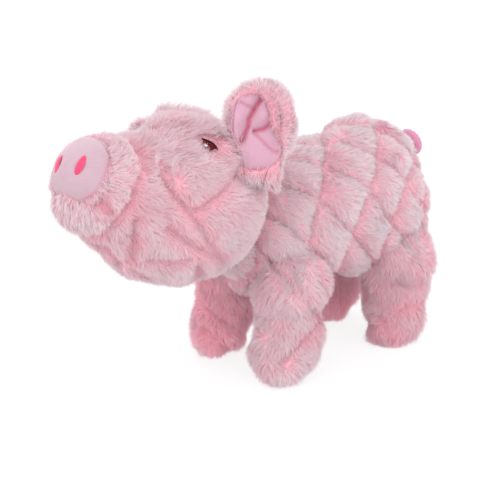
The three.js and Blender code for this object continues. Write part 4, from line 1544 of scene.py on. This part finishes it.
for side, points, faces in (
    ("left", ear.points, ear.faces),
    ("right", to_other_ear(ear.points), [block[:, ::-1] for block in ear.faces]),
):
    put(mesh_object(f"ear_backing_{side}", points, faces, backing), f"ear_{side}", f"ear_back_{side}", fill=0.4)
ear_rng = np.random.default_rng(81)
roots, root_normals = ear.scatter(DENSITY, ear_rng)
band = band_place(seen_at(roots))[0]
behind = root_normals @ camera_back < 0
kept = (band > 0.03) | behind
band = np.where(behind, 1, band)[kept]
roots, root_normals = roots[kept], root_normals[kept]
long = (EAR_PILE + 1.0 * waves(roots, 22, 84)) * (0.6 + 0.4 * ramp(band, 0.0, 0.2))
inward = (ear_rng.random(len(roots)) < INWARD_SHARE) & (band < INWARD_BAND)
way = ear_comb(roots, root_normals) * np.where(inward, -1, 1)[:, None]
leans = np.where(inward, 0.95, 0.8 - 0.45 * ramp(root_normals @ camera_back, 0.0, 0.5))
lines, _ = strand_lines(roots, root_normals, way, long, leans, ear_rng, tuft_size=EAR_TUFT_SIZE)
# Painted shade: the strands next to the satin are pinker.
shade = 0.42 + 0.38 * ramp(band, 0.02, 0.3) + 0.12 * waves(roots, 24, 82) + 0.08 * ear_rng.normal(size=len(roots))
put(ribbons("ear_pile_left", lines, root_normals, shade, ear_rng), "ear_left")
other_lines, other_normals = to_other_ear(lines), way_on_other_ear(root_normals)
put(ribbons("ear_pile_right", other_lines, other_normals, shade, ear_rng), "ear_right")
print("ear pile:", 2 * len(roots), "strands")

# %% [markdown]
# Pile also stands round the edge of the snout, behind its seam, and hides where the dome is sewn in. The dome and
# the tail have none of it, because velboa is too short to show strands.

# %% Snout and tail
EDGE_PILE, EDGE_STARTS, EDGE_ENDS = 3.6, 0.03, 2.0


def snout_polar(points):
    """Turn from the bottom to the top of the dome, alike on both sides, and tilt away from its front."""
    way = unit(head_local(points) - SNOUT_MIDDLE)
    return np.arctan2(way[:, 2], np.abs(way[:, 1])), np.arccos(np.clip(-way[:, 0], -1, 1))


def behind_seam(points, normals):
    seam_turn, seam_tilt = snout_polar(cap_line)
    order = np.argsort(seam_turn)
    turn, tilt = snout_polar(points)
    limit = np.interp(turn, seam_turn[order], seam_tilt[order])
    return (tilt > limit + EDGE_STARTS) & (tilt < EDGE_ENDS)


def snout_comb(points, normals):
    return HEAD_BASIS @ np.array([0.6, 0, 0]) + 0.6 * normals + 0.5 * wander(points, 9, 91)


def edge_length(points, normals):
    return (EDGE_PILE + 0.8 * waves(points, 8, 94)) * (1 - 0.8 * far_brow(points))


def edge_tone(points, normals):
    return 0.5 + 0.15 * waves(points, 12, 95)


edge_pile, = grow(
    "snout_edge_pile", snout, 90, snout_comb, edge_length, edge_tone, lean=0.6, keep=behind_seam,
)
put(edge_pile, "head")
put(show("snout_cap", snout, velboa), "head", "snout_disc", slot_name="velboa", fill=0.9)
put(show("tail_curl", tail, tail_velboa), "tail", "tail", slot_name="velboa", fill=0.9)

# %% [markdown]
# The squeaker lies in the stuffing, where nothing shows it. Its solids stay as they are and only take on the look
# of thin vinyl.

# %% Inside pieces
for node in ("squeaker_bladder", "squeaker_reed"):
    solid = bpy.data.objects[node]
    solid.data.materials.clear()
    solid.data.materials.append(vinyl)
print("squeaker in vinyl")
